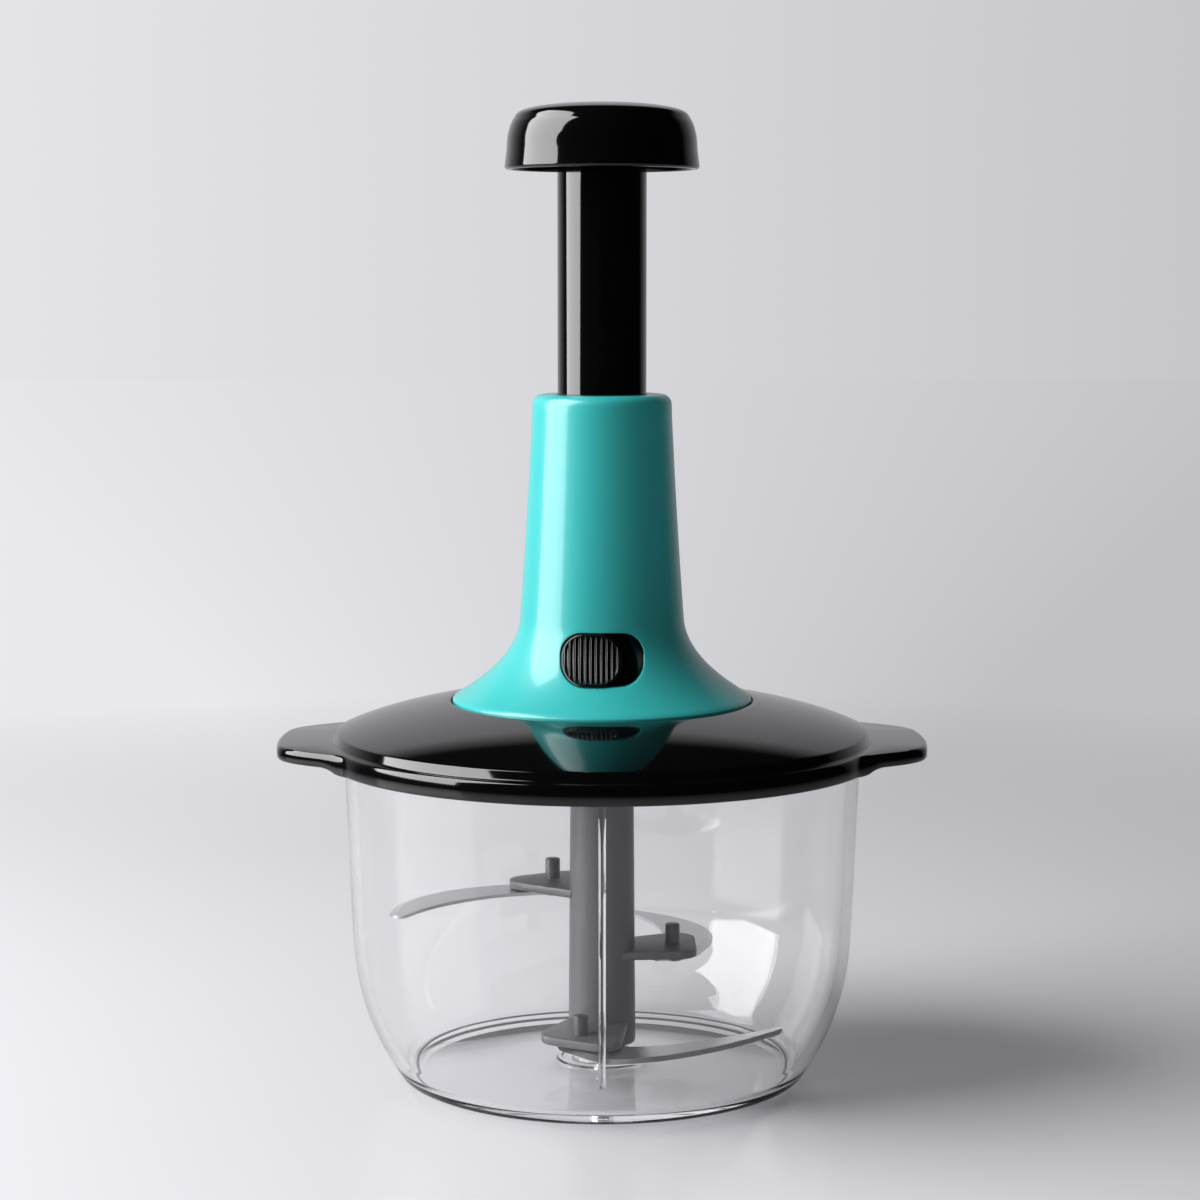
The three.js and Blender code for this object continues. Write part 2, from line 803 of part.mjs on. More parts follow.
function makeTube() {
  const tube = revolve([
    [tubeBore, tubeFoot],
    [tubeRadius, tubeFoot],
    [tubeRadius, tubeTop],
    [tubeTopBore, tubeTop],
    [tubeTopBore, tubeTop - tubeTopWall],
    [tubeBore, tubeTop - tubeTopWall],
  ], middleFacets);
  const keyFoot = towerTop - mouthFlange - guideBushHeight - 3;
  const keyTop = towerTop - mouthFlange + stroke + 3;
  const keyway = box(keyWidth + 2 * seatGap, 4, keyFoot, keyTop)
    .translate(0, tubeRadius - keyDepth - seatGap + 2, 0);
  const latchBottom = fingerBottom + stroke;
  const latchTop = latchBottom + fingerHeight + runGap;
  const way = fingerWidth + 2 * runGap;
  const reach = 2 * (tubeRadius + 1);
  const groove = box(way, reach, tubeFoot - 1, latchTop);
  const notchSteps = [1, 2, 3].map((step) => (
    box(way, reach, latchBottom - runGap, latchTop).rotateZ(radians((lockAngle * step) / 3))
  ));
  const pinHole = crossPin(nutPinRadius + seatGap, -reach / 2, reach / 2);
  const core = disc(tubeBore - 0.4, tubeFoot - 2, latchTop + 2, middleFacets);
  const latch = cut(join(groove, ...notchSteps), core);
  return cut(tube, keyway, latch, pinHole);
}

function makeKnobCore() {
  return ring(screwShankRadius + seatGap, tubeBore - seatGap, coreBottom, coreTop, smallFacets);
}

function makeKnobScrew() {
  const headTop = coreBottom - seatGap;
  const tip = knobTop - knobTopWall + 0.6;
  return revolve([
    [0, headTop - screwHeadHeight],
    [screwHeadRadius, headTop - screwHeadHeight],
    [screwHeadRadius, headTop],
    [screwShankRadius, headTop],
    [screwShankRadius, tip],
    [0, tip],
  ], screwFacets);
}

function makeNut() {
  const bore = twistedBar(runGap, nutBottom - 2.2, nutTop + 2.2);
  const holes = [-1, 1].map((side) => (
    crossPin(nutPinRadius + seatGap, side * (tubeBore - nutPinSink - 0.4), side * (tubeBore + 3))
  ));
  return cut(disc(tubeBore - seatGap, nutBottom, nutTop, middleFacets), bore, ...holes);
}

function makeNutPin(side) {
  return crossPin(nutPinRadius, side * (tubeBore - nutPinSink), side * (tubeRadius - 0.2));
}

// A pin along the X axis at the height of the nut's middle.
function crossPin(radius, from, to) {
  return new THREE.CylinderGeometry(radius, radius, Math.abs(to - from), screwFacets)
    .rotateZ(Math.PI / 2)
    .translate((from + to) / 2, 0, nutBottom + nutHeight / 2);
}

// Spindle

function makeSpindle() {
  const footBottom = driverBase - footProud;
  const journalBottom = plateTop - spigotDepth;
  const foot = prism(hexagon(footHexRadius), footBottom, journalBottom + overlap);
  const journal = disc(journalRadius, journalBottom, collarBottom + overlap);
  const collar = disc(collarRadius, collarBottom, collarTop);
  const bar = twistedBar(0, collarTop - overlap, spindleTop);
  const tip = disc(spindleTipRadius, spindleTop - overlap, spindleTop + spindleTipHeight, screwFacets);
  return join(foot, journal, collar, bar, tip);
}

function makeSpringCup() {
  const inner = spindleTipRadius + seatGap;
  const hubTop = cupBottom + spindleTipHeight;
  return revolve([
    [inner, cupBottom],
    [cupFlangeRadius, cupBottom],
    [cupFlangeRadius, cupBottom + cupFlangeHeight],
    [cupHubRadius, cupBottom + cupFlangeHeight],
    [cupHubRadius, hubTop],
    [inner, hubTop],
  ], smallFacets);
}

// Clutch

// Ramped dogs round a disc. Direction 1 points them up and -1 points them down.
function dogs(base, direction, turn) {
  const length = clutchRadius - 0.3 - dogInnerRadius;
  const half = dogWidth / 2;
  const tip = direction * dogHeight;
  const root = -direction * overlap;
  const steep = direction * half;
  const shape = new THREE.Shape([
    new THREE.Vector2(-steep, root),
    new THREE.Vector2(steep, root),
    new THREE.Vector2(steep, tip),
    new THREE.Vector2(-steep, direction * 0.3),
  ]);
  const pieces = [];
  for (let dog = 0; dog < dogCount; dog += 1) {
    const tooth = new THREE.ExtrudeGeometry(shape, { depth: length, bevelEnabled: false })
      .applyMatrix4(new THREE.Matrix4().makeBasis(
        new THREE.Vector3(0, 1, 0), new THREE.Vector3(0, 0, 1), new THREE.Vector3(1, 0, 0),
      ))
      .translate(dogInnerRadius, 0, base)
      .rotateZ(radians(turn + (360 / dogCount) * dog));
    pieces.push(tooth);
  }
  return pieces;
}

function makeClutchDriver() {
  const top = plateTop - spigotDepth - seatGap;
  const body = join(
    disc(clutchRadius, driverBase, driverBase + clutchDiscHeight),
    disc(journalRadius + bushWall, driverBase + overlap, top),
    ...dogs(driverBase, -1, dogLag),
  );
  return cut(body, prism(hexagon(footHexRadius + seatGap), driverBase - 1, top + 1));
}

function makeOutputDrive() {
  const shaftBottom = hubBottom - overlap;
  return join(
    disc(clutchRadius, clutchFace - clutchDiscHeight, clutchFace),
    disc(outputShaftRadius, shaftBottom, clutchFace - overlap),
    prism(hexagon(outputHexRadius), shaftBottom - outputHexLength, shaftBottom + overlap),
    ...dogs(clutchFace, 1, 0),
  );
}

function makeClutchSpring() {
  const bottom = hubBottom + hubCapThickness + seatGap;
  const top = clutchFace - clutchDiscHeight - seatGap;
  return coilSpring(clutchSpringRadius, bottom, top, clutchSpringTurns, clutchSpringWire);
}

// Lock

// A band that follows the tower's flare between two depths behind its outside.
function flareBand(near, far, facets) {
  const { flare, neck } = towerOutline();
  const line = [...flare, ...neck].filter(([, height]) => height < slotCentre + 16);
  return revolve([...offset(line, near), ...offset(line, far).reverse()], facets);
}

function makeLockButton() {
  const left = -slotWidth / 2 + buttonMargin;
  const right = left + buttonWidth;
  const bottom = slotCentre - slotHeight / 2 + buttonMargin;
  const top = slotCentre + slotHeight / 2 - buttonMargin;
  const reach = towerBaseRadius + 10;
  const plateDepth = towerWall + runGap;
  const plateReach = slotWidth / 2 + lockPlateLap;
  const slide = radians(lockAngle) * (waistRadius + 3);
  const plateShape = roundedRectangle(-plateReach - slide, plateReach,
    bottom - buttonMargin - lockPlateLap, top + buttonMargin + lockPlateLap, slotCorner + lockPlateLap);
  const plate = common(
    flareBand(plateDepth, plateDepth + lockPlateThickness, flareFacets),
    frontPrism(plateShape, reach),
  );
  const pad = common(
    flareBand(-ribGap, plateDepth + overlap, flareFacets),
    frontPrism(roundedRectangle(left, right, bottom, top, buttonCorner), reach),
  );
  const padMiddle = (left + right) / 2;
  const grooveCount = Math.floor((buttonWidth - 2.4) / ribPitch);
  const grooves = [];
  for (let groove = 0; groove < grooveCount; groove += 1) {
    const x = padMiddle + (groove - (grooveCount - 1) / 2) * ribPitch;
    const rise = Math.sqrt(Math.max(1 - ((x - padMiddle) / (buttonWidth / 2)) ** 2, 0));
    const half = (slotHeight / 2 - buttonMargin - 1) * rise ** 0.6;
    const slab = box(ribGap, reach, slotCentre - half, slotCentre + half).translate(x, -reach / 2 - 10, 0);
    grooves.push(common(flareBand(-2 * ribGap, ribDepth - ribGap, flareFacets), slab));
  }
  const arm = common(
    flareBandFilled(plateDepth + lockPlateThickness / 2),
    box(latchArmWidth, latchArmReach, fingerBottom, fingerBottom + fingerHeight)
      .translate(0, -lockRingRadius - seatGap - latchArmReach / 2, 0),
  );
  return cut(join(plate, pad, arm), ...grooves);
}

function flareBandFilled(depth) {
  const { flare, neck } = towerOutline();
  const line = offset([...flare, ...neck], depth);
  return revolve([[0, line[0][1]], ...line, [0, line[line.length - 1][1]]], flareFacets);
}

function makeLockRing() {
  const bottom = bearingTop + seatGap;
  const top = fingerBottom + fingerHeight;
  const collar = ring(lockRingBore, lockRingRadius, bottom, top, middleFacets);
  const tip = tubeBore + runGap;
  const fingers = [-1, 1].map((side) => (
    box(fingerWidth, lockRingBore + 1 - tip, fingerBottom, top)
      .translate(0, (side * (lockRingBore + 1 + tip)) / 2, 0)
  ));
  const lugSide = (latchArmWidth + lugThickness) / 2 + seatGap;
  const lugs = [-1, 1].map((side) => (
    box(lugThickness, lugReach, fingerBottom, top)
      .translate(side * lugSide, lugSink - lockRingRadius - lugReach / 2, 0)
  ));
  const detents = [0, lockAngle].map((turn) => (
    disc(notchRadius, bottom - 1, top + 1, screwFacets)
      .translate(0, lockRingRadius + notchRadius - notchSink, 0).rotateZ(radians(-turn))
  ));
  return cut(join(collar, ...fingers, ...lugs), ...detents);
}

function makeLockSpring() {
  const rest = lockRingRadius + postStandOff - postRadius - seatGap;
  const bump = lockRingRadius + seatGap + detentLeafThickness;
  const half = [
    [detentBumpWidth, bump + detentBumpFlank],
    [detentLeafBend, rest - 0.5],
    [detentLeafEnd, rest - 0.4],
  ];
  const path = [...half.map(([x, y]) => [-x, y]).reverse(), [0, bump], ...half];
  const curve = new THREE.SplineCurve(path.map(([x, y]) => new THREE.Vector2(x, y)))
    .getPoints(20).map((point) => [point.x, point.y]);
  const back = offset(curve, -detentLeafThickness).reverse();
  const outline = [...curve, ...back].map(([x, y]) => new THREE.Vector2(x, y));
  const bottom = bearingTop + seatGap;
  return prism(new THREE.Shape(outline), bottom, bottom + detentLeafWidth);
}

// Blades

// An arm's plan, along +X: it widens away from the column and its end is cut at a slant.
function armShape() {
  const slant = radians(-13);
  const shape = new THREE.Shape();
  shape.moveTo(armRoot, -armRootHalfWidth);
  shape.absarc(...armTrailingCorner, armCorner, radians(-96), slant, false);
  shape.absarc(...armLeadingCorner, armCorner, slant, radians(98), false);
  shape.lineTo(armRoot, armRootHalfWidth);
  return shape;
}

function pegHole(azimuth, bottom, top) {
  return disc(pegRadius + seatGap, bottom - 1, top + 1, screwFacets)
    .translate(pegCircle, 0, 0).rotateZ(radians(azimuth));
}

function makeColumn() {
  const socketBottom = columnTop - outputHexLength - 1.4;
  const outside = revolve([
    [0, columnFoot],
    [columnFootRadius - 0.6, columnFoot],
    [columnFootRadius, columnFoot + 0.6],
    [columnTopRadius, columnTop - 0.6],
    [columnTopRadius - 0.6, columnTop],
    [0, columnTop],
  ], middleFacets);
  const arms = bladeLevels.map(({ armTop, azimuth }) => (
    prism(armShape(), armTop - armThickness, armTop).rotateZ(radians(azimuth))
  ));
  const pinBore = disc(pinRadius + runGap, columnFoot - 1, pinTop + seatGap);
  const cavity = disc(columnTopRadius - columnWall, pinTop + 5, socketBottom, middleFacets);
  const socket = prism(hexagon(outputHexRadius + runGap), socketBottom - 1, columnTop + 1);
  const holes = bladeLevels.map(({ armTop, azimuth }) => (
    pegHole(azimuth, armTop - armThickness, armTop)
  ));
  return cut(join(outside, ...arms), pinBore, cavity, socket, ...holes);
}

// A crescent blade in its own frame, with the arm along +X and its top face at zero height. The
// outer edge is ground to a bevel, and past the arm the blade climbs by the given angle.
function makeBlade(rise) {
  const outer = new THREE.SplineCurve(bladeOuterEdge.map(([x, y]) => new THREE.Vector2(x, y)));
  const inner = new THREE.SplineCurve(bladeInnerEdge.map(([x, y]) => new THREE.Vector2(x, y)));
  const climb = Math.tan(radians(rise));
  const armEdge = armLeadingCorner[1] + armCorner;
  const sections = [];
  for (let s = 0; s <= bladeStations; s += 1) {
    const share = s / bladeStations;
    const out = outer.getPoint(share);
    const inn = inner.getPoint(share);
    const width = out.distanceTo(inn);
    const ridge = out.clone().lerp(inn, Math.min(bladeBevel / width, 0.6));
    const lift = (y) => climb * Math.max(y - armEdge, 0);
    sections.push([
      new THREE.Vector3(inn.x, inn.y, lift(inn.y) - bladeThickness),
      new THREE.Vector3(out.x, out.y, lift(out.y) - bladeThickness),
      new THREE.Vector3(out.x, out.y, lift(out.y) - bladeThickness * 0.8),
      new THREE.Vector3(ridge.x, ridge.y, lift(ridge.y)),
      new THREE.Vector3(inn.x, inn.y, lift(inn.y)),
    ]);
  }
  return loft(sections);
}

function makeMountedBlade({ armTop, azimuth, rise }) {
  const top = armTop - armThickness - seatGap;
  const blade = makeBlade(rise).translate(0, 0, top).rotateZ(radians(azimuth));
  return cut(blade, pegHole(azimuth, top - bladeThickness, top));
}

function makePeg({ armTop, azimuth }) {
  const headTop = armTop - armThickness - 2 * seatGap - bladeThickness;
  return revolve([
    [0, headTop - pegHeadHeight],
    [pegHeadRadius, headTop - pegHeadHeight],
    [pegHeadRadius, headTop],
    [pegRadius, headTop],
    [pegRadius, armTop + pegHeight - 0.5],
    [pegRadius - 0.5, armTop + pegHeight],
    [0, armTop + pegHeight],
  ], screwFacets).translate(pegCircle, 0, 0).rotateZ(radians(azimuth));
}

place('bowl', makeBowl(), 'clear');
place('bowl_pin', makeBowlPin(), 'steel');
place('lid', makeLid(), 'blackGloss');
place('lid_seal', makeLidSeal(), 'silicone');
place('lid_inner_cover', makeLidCover(), 'blackGloss');
place('hub_cap', makeHubCap(), 'acetal');
place('tower_housing', makeTower(), 'teal');
screwPlaces().forEach((spot, i) => place(`housing_screw_${i + 1}`, makeHousingScrew(spot), 'steel'));
place('plunger_guide_bush', makeGuideBush(), 'acetal');
place('bearing_plate', makeBearingPlate(), 'acetal');
place('spindle_bush', makeSpindleBush(), 'acetal');
place('thrust_washer', makeThrustWasher(), 'steel');
place('push_knob', makeKnob(), 'blackGloss');
place('plunger_tube', makeTube(), 'blackGloss');
place('knob_core', makeKnobCore(), 'acetal');
place('knob_screw', makeKnobScrew(), 'steel');
place('drive_nut', makeNut(), 'acetal');
place('nut_pin_right', makeNutPin(1), 'steel');
place('nut_pin_left', makeNutPin(-1), 'steel');
place('return_spring', coilSpring(springRadius, springSeat, coreBottom - seatGap, springTurns,
  springWireRadius), 'steel');
place('drive_spindle', makeSpindle(), 'steel');
place('spring_cup', makeSpringCup(), 'acetal');
place('clutch_driver', makeClutchDriver(), 'acetal');
place('output_drive', makeOutputDrive(), 'acetal');
place('clutch_spring', makeClutchSpring(), 'steel');
place('lock_button', makeLockButton(), 'blackGloss');
place('lock_ring', makeLockRing(), 'acetal');
place('lock_spring', makeLockSpring(), 'steel');
place('blade_column', makeColumn(), 'greyPlastic');
bladeLevels.forEach((level) => {
  place(`blade_${level.name}`, makeMountedBlade(level), 'steel');
  place(`blade_peg_${level.name}`, makePeg(level), 'greyPlastic');
});

export default chopper;
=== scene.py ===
"""Dresses a hand push chopper round its fixed frame: fine surfaces, plastics, steel and a pale studio.

Lengths in the settings are metres. Shapes are drawn in millimetres and scaled when a mesh is made.
"""

import json
import math
from types import SimpleNamespace

import bmesh
import bpy
from bpy.props import FloatProperty, FloatVectorProperty, IntProperty, PointerProperty
from mathutils import Matrix, Vector


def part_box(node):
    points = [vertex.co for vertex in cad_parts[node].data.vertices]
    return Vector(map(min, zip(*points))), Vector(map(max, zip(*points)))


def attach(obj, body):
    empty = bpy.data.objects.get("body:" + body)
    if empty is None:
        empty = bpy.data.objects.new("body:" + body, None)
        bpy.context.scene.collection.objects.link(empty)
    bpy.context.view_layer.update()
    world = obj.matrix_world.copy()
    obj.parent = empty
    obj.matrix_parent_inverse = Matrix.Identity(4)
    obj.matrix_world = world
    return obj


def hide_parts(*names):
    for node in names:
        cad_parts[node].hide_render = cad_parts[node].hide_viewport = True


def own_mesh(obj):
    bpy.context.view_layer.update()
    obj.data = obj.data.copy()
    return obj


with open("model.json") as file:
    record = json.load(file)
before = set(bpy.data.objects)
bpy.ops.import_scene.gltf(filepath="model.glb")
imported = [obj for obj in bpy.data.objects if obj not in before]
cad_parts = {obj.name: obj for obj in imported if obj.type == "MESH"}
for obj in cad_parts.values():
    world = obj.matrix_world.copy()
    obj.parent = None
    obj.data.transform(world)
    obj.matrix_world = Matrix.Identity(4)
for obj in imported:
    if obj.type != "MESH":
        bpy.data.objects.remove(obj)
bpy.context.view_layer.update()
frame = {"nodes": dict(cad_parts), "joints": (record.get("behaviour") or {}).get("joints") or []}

bl_info = {
    "name": "Push chopper",
    "version": (1, 0, 0),
    "blender": (4, 5, 0),
    "location": "3D View > Sidebar > Chopper",
    "description": "Builds a hand push chopper round its fixed frame",
    "category": "Add Mesh",
}

MM = 0.001

# Clearances in millimetres, between pieces that sit in each other, slide, or are wider apart
GAP = 0.3
SLIDING_GAP = 0.4
WIDE_GAP = 0.6


# Settings

def length(name, description, millimetres):
    return FloatProperty(
        name=name, description=description, default=millimetres * MM, unit="LENGTH", precision=5
    )


def degrees(name, description, value):
    return FloatProperty(name=name, description=description, default=math.radians(value), subtype="ANGLE")


def colour(name, description, default):
    return FloatVectorProperty(
        name=name, description=description, default=default, subtype="COLOR", size=3, min=0, max=1
    )


class BowlSettings(bpy.types.PropertyGroup):
    wall: length("Wall", "Thickness of the clear wall", 3.2)
    foot_radius: length("Foot radius", "Outside of the ring that the bowl stands on", 59.5)
    foot_width: length("Foot width", "Width of that ring", 2.6)
    shoulder_radius: length("Shoulder radius", "Radius where the side turns upright", 75.5)
    shoulder_height: length("Shoulder height", "Height where the side turns upright", 43.3)
    floor_top: length("Floor top", "Height of the floor's upper face", 3.5)
    floor_wall: length("Floor wall", "Thickness of the floor", 2.2)
    boss_radius: length("Boss radius", "Raised boss that holds the pin", 8.5)
    boss_height: length("Boss height", "How far the boss stands above the floor", 1.5)
    ridge_width: length("Ridge width", "Width of the moulded ridge up the front", 2.0)
    ridge_proud: length("Ridge proud", "How far that ridge stands out", 0.75)
    ridge_foot: length("Ridge foot", "Height of its lower end", 13.5)
    ridge_top: length("Ridge top", "Height of its upper end", 88.0)


class LidSettings(bpy.types.PropertyGroup):
    ear_flat: degrees("Ear flat", "Half the angle over which an ear keeps its full reach", 9)
    ear_blend: degrees("Ear blend", "Angle off the ear's middle where it has met the round rim", 27)
    rim_thickness: length("Rim thickness", "Height of the rim's edge", 6.2)
    rim_round: length("Rim round", "Radius along the rim's edges", 1.4)
    skirt_drop: length("Skirt drop", "How far the rim hangs below the bowl's top", 3.3)
    ear_lift: length("Ear lift", "How much thinner the ears are, from below", 1.9)
    ear_wall: length("Ear wall", "Wall round the pocket under each ear", 2.4)
    dome_inset: length("Dome inset", "From the rim's outside to the dome's foot", 3.2)
    dome_foot: length("Dome foot", "Height of the dome's foot above the rim", 2.7)
    recess_depth: length("Recess depth", "Depth of the recess that the tower stands in", 2.3)
    wall: length("Wall", "Thickness of the dome", 2.5)
    hub_radius: length("Hub radius", "Radius of the bore through the hub under the lid", 12.4)
    hub_wall: length("Hub wall", "Wall of the hub", 2.6)


class TowerSettings(bpy.types.PropertyGroup):
    wall: length("Wall", "Thickness of the housing", 2.3)
    waist_radius: length("Waist radius", "Radius where the bell meets the neck", 24.7)
    waist_height: length("Waist height", "Height of the waist above the base", 25.9)
    neck_radius: length("Neck radius", "Radius just under the mouth", 20.9)
    slot_width: length("Slot width", "Width of the lock's slot", 25.2)
    slot_height: length("Slot height", "Height of the lock's slot", 15.4)
    slot_corner: length("Slot corner", "Corner radius of the slot", 6.8)
    slot_rise: length("Slot rise", "Height of the slot's middle above the base", 17.5)
    slot_round: length("Slot round", "Radius along the slot's edge", 0.4)


class PlungerSettings(bpy.types.PropertyGroup):
    wall: length("Tube wall", "Wall of the plunger tube", 2.0)
    knob_wall: length("Knob wall", "Wall of the hollow knob", 2.2)
    knob_hollow: length("Knob hollow", "Radius of the flat inside the knob's top", 22.5)
    key_width: length("Key width", "Width of the groove down the tube's back", 3.4)
    key_depth: length("Key depth", "Depth of that groove", 1.3)
    key_foot: length("Key foot", "Lower end of that groove, above the tube's foot", 7.4)
    key_length: length("Key length", "Length of that groove", 79.0)
    latch_width: length("Latch width", "Width of the openings for the latch in the tube's foot", 4.4)
    latch_height: length("Latch height", "Height of those openings", 11.2)
    spring_wire: length("Spring wire", "Radius of the return spring's wire", 0.7)
    spring_turns: IntProperty(name="Spring turns", description="Turns of that spring", default=10, min=3)


class LockSettings(bpy.types.PropertyGroup):
    margin: length("Margin", "Gap between the button and its slot", 0.6)
    width: length("Width", "Width of the ribbed button", 17.8)
    corner: length("Corner", "Corner radius of the button", 6.6)
    proud: length("Proud", "How far the button stands out of the housing", 0.7)
    rib_pitch: length("Rib pitch", "Distance from one rib to the next", 1.56)
    rib_depth: length("Rib depth", "Depth of the grooves between the ribs", 0.6)
    plate_wall: length("Plate wall", "Thickness of the curved plate behind the slot", 1.6)


class BladeSettings(bpy.types.PropertyGroup):
    arm_root: length("Arm root", "Half an arm's width inside the column", 9.2)
    arm_thickness: length("Arm thickness", "Thickness of an arm", 2.6)
    arm_corner: length("Arm corner", "Corner radius of an arm", 6)
    thickness: length("Blade thickness", "Thickness of the steel", 1.0)
    lower_climb: degrees("Lower climb", "How steeply the lowest blade climbs past its arm", 12)
    bevel: length("Bevel", "Width of the ground edge", 3.0)
    peg_radius: length("Peg radius", "Radius of the pegs that hold the blades", 2.25)
    peg_rise: length("Peg rise", "How far a peg stands above its arm", 6.0)
    peg_head: length("Peg head", "Radius of a peg's head under the blade", 3.6)


class FinishSettings(bpy.types.PropertyGroup):
    teal: colour("Teal", "Moulded housing", (0.036, 0.460, 0.452))
    black: colour("Black", "Lid, knob, tube and lock", (0.0022, 0.0022, 0.0025))
    grey: colour("Grey", "Blade column; its pegs are half as light", (0.128, 0.125, 0.132))
    acetal: colour("Acetal", "White inner pieces", (0.760, 0.750, 0.700))
    silicone: colour("Silicone", "Seal under the lid", (0.560, 0.570, 0.570))
    steel: colour("Steel", "Blades, springs, pins and screws", (0.560, 0.560, 0.570))
    studio: colour("Studio", "Floor and background", (0.700, 0.695, 0.725))


class StageSettings(bpy.types.PropertyGroup):
    distance: length("Distance", "From the axis to the camera", 867)
    height: length("Height", "Height of the camera", 241.5)
    shift: length("Shift", "How far the camera stands to the right of the axis", -0.6)
    pitch: degrees("Pitch", "How far the camera looks down", 6.4)
    lens: FloatProperty(name="Lens", description="Focal length on a 36 mm sensor, in mm",
                        default=87.03)
    key_power: FloatProperty(name="Key power", description="Power of the large soft lamp on the left",
                             default=35, subtype="POWER")
    fill_level: FloatProperty(name="Fill level", description="Strength of the light from all round",
                              default=0.13, min=0)


SETTINGS = {
    "chopper_bowl": BowlSettings,
    "chopper_lid": LidSettings,
    "chopper_tower": TowerSettings,
    "chopper_plunger": PlungerSettings,
    "chopper_lock": LockSettings,
    "chopper_blades": BladeSettings,
    "chopper_finish": FinishSettings,
    "chopper_stage": StageSettings,
}


def sizes(name):
    """A settings group's lengths in millimetres; its other values as they are."""
    group = getattr(bpy.context.scene, name)
    values = {}
    for key in group.bl_rna.properties.keys():
        if key in ("rna_type", "name"):
            continue
        value = getattr(group, key)
        values[key] = value / MM if group.bl_rna.properties[key].unit == "LENGTH" else value
    return SimpleNamespace(**values)


def box(node):
    """A frame node's lowest and highest corners in millimetres."""
    low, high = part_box(node)
    return low / MM, high / MM


def middle_of(low, high):
    return (low.x + high.x) / 2, (low.y + high.y) / 2


def joint(name):
    return next(row for row in frame["joints"] if row["name"] == name)


# Lines in a plane, as lists of (x, y) in millimetres

def curve(steps, *points):
    """Points along a Bezier curve through the first and last of its three or four points."""
    order = len(points) - 1
    line = []
    for step in range(steps + 1):
        t = step / steps
        weights = [math.comb(order, k) * t ** k * (1 - t) ** (order - k) for k in range(order + 1)]
        line.append(tuple(sum(w * p[axis] for w, p in zip(weights, points)) for axis in (0, 1)))
    return line


def spline_point(points, share):
    """A point of a smooth line through the points, which lie at even shares of it."""
    place = share * (len(points) - 1)
    i = min(int(place), len(points) - 2)
    t = place - i
    a, b, c, d = (points[min(max(k, 0), len(points) - 1)] for k in (i - 1, i, i + 1, i + 2))
    out = []
    for axis in (0, 1):
        slope_in = (c[axis] - a[axis]) / 2
        slope_out = (d[axis] - b[axis]) / 2
        lift = 2 * b[axis] - 2 * c[axis] + slope_in + slope_out
        bend = -3 * b[axis] + 3 * c[axis] - 2 * slope_in - slope_out
        out.append(lift * t ** 3 + bend * t ** 2 + slope_in * t + b[axis])
    return tuple(out)


def spline(points, steps):
    return [spline_point(points, step / steps) for step in range(steps + 1)]


def beside(line, distance):
    """The line moved sideways, to the left of its direction for a positive distance."""
    moved = []
    for i, (x, y) in enumerate(line):
        before, after = line[max(i - 1, 0)], line[min(i + 1, len(line) - 1)]
        dx, dy = after[0] - before[0], after[1] - before[1]
        scale = distance / math.hypot(dx, dy)
        moved.append((x - dy * scale, y + dx * scale))
    return moved


STRAIGHT = math.radians(4)
LARGEST_SHARE = 0.49


def rounded(corners, steps=4):
    """A closed outline whose corners (x, y, radius) become arcs. Corners without a radius stay.

    A corner that is nearly straight or folded back stays too, and no arc takes half a side.
    """
    outline = []
    for i, corner in enumerate(corners):
        here = Vector(corner[:2])
        if len(corner) == 2:
            outline.append(tuple(here))
            continue
        radius = corner[2]
        before = Vector(corners[i - 1][:2]) - here
        after = Vector(corners[(i + 1) % len(corners)][:2]) - here
        angle = before.angle(after, 0)
        if not STRAIGHT < angle < math.pi - STRAIGHT:
            outline += [tuple(here)] * (steps + 1)
            continue
        reach = min(radius / math.tan(angle / 2), LARGEST_SHARE * min(before.length, after.length))
        back, on = before.normalized(), after.normalized()
        middle = here + (back + on).normalized() * (reach / math.cos(angle / 2))
        spoke, last = here + back * reach - middle, here + on * reach - middle
        sweep = spoke.angle_signed(last)
        for step in range(steps + 1):
            outline.append(tuple(middle + Matrix.Rotation(-sweep * step / steps, 2) @ spoke))
    return outline


def radius_at(line, height):
    """The radius of a (radius, height) line at a height between its ends."""
    for (r0, z0), (r1, z1) in zip(line, line[1:]):
        if min(z0, z1) <= height <= max(z0, z1) and z0 != z1:
            return r0 + (r1 - r0) * (height - z0) / (z1 - z0)
    return line[0][0] if height < line[0][1] else line[-1][0]


def smooth(value, low, high):
    share = min(max((value - low) / (high - low), 0), 1)
    return share * share * (3 - 2 * share)


def window_loop(half_width, half_height, corner, across, up):
    """Points round a rounded rectangle, from its lower left corner's middle, counterclockwise."""
    points = []
    arc = corner * math.pi / 4
    for side in range(4):
        turn = Matrix.Rotation(side * math.pi / 2, 2)
        count = (across, up)[side % 2]
        run = (half_width, half_height)[side % 2] - corner
        reach = (half_height, half_width)[side % 2]
        for step in range(count):
            place = (arc + run) * (2 * step / count - 1)
            angle = max(abs(place) - run, 0) / corner
            along = math.copysign(min(abs(place), run) + corner * math.sin(angle), place)
            points.append(tuple(turn @ Vector((along, corner * (1 - math.cos(angle)) - reach))))
    return points


def spun(turn, line):
    """A (radius, height) line turned round the axis, from the front."""
    return [(r * math.sin(turn), -r * math.cos(turn), z) for r, z in line]


def circle(radius, height, count, centre=(0, 0)):
    spots = (2 * math.pi * i / count for i in range(count))
    return [(centre[0] + radius * math.cos(a), centre[1] + radius * math.sin(a), height) for a in spots]


def hexagon(radius, height, count):
    """A hexagon's corners and the points between them, count in all."""
    half = math.pi / 6
    points = []
    for i in range(count):
        angle = 2 * math.pi * i / count
        off = abs((angle + half) % (2 * half) - half)
        reach = radius * math.cos(half) / math.cos(off - half)
        points.append((reach * math.cos(angle), reach * math.sin(angle), height))
    return points


# Meshes

WELD = 1e-7


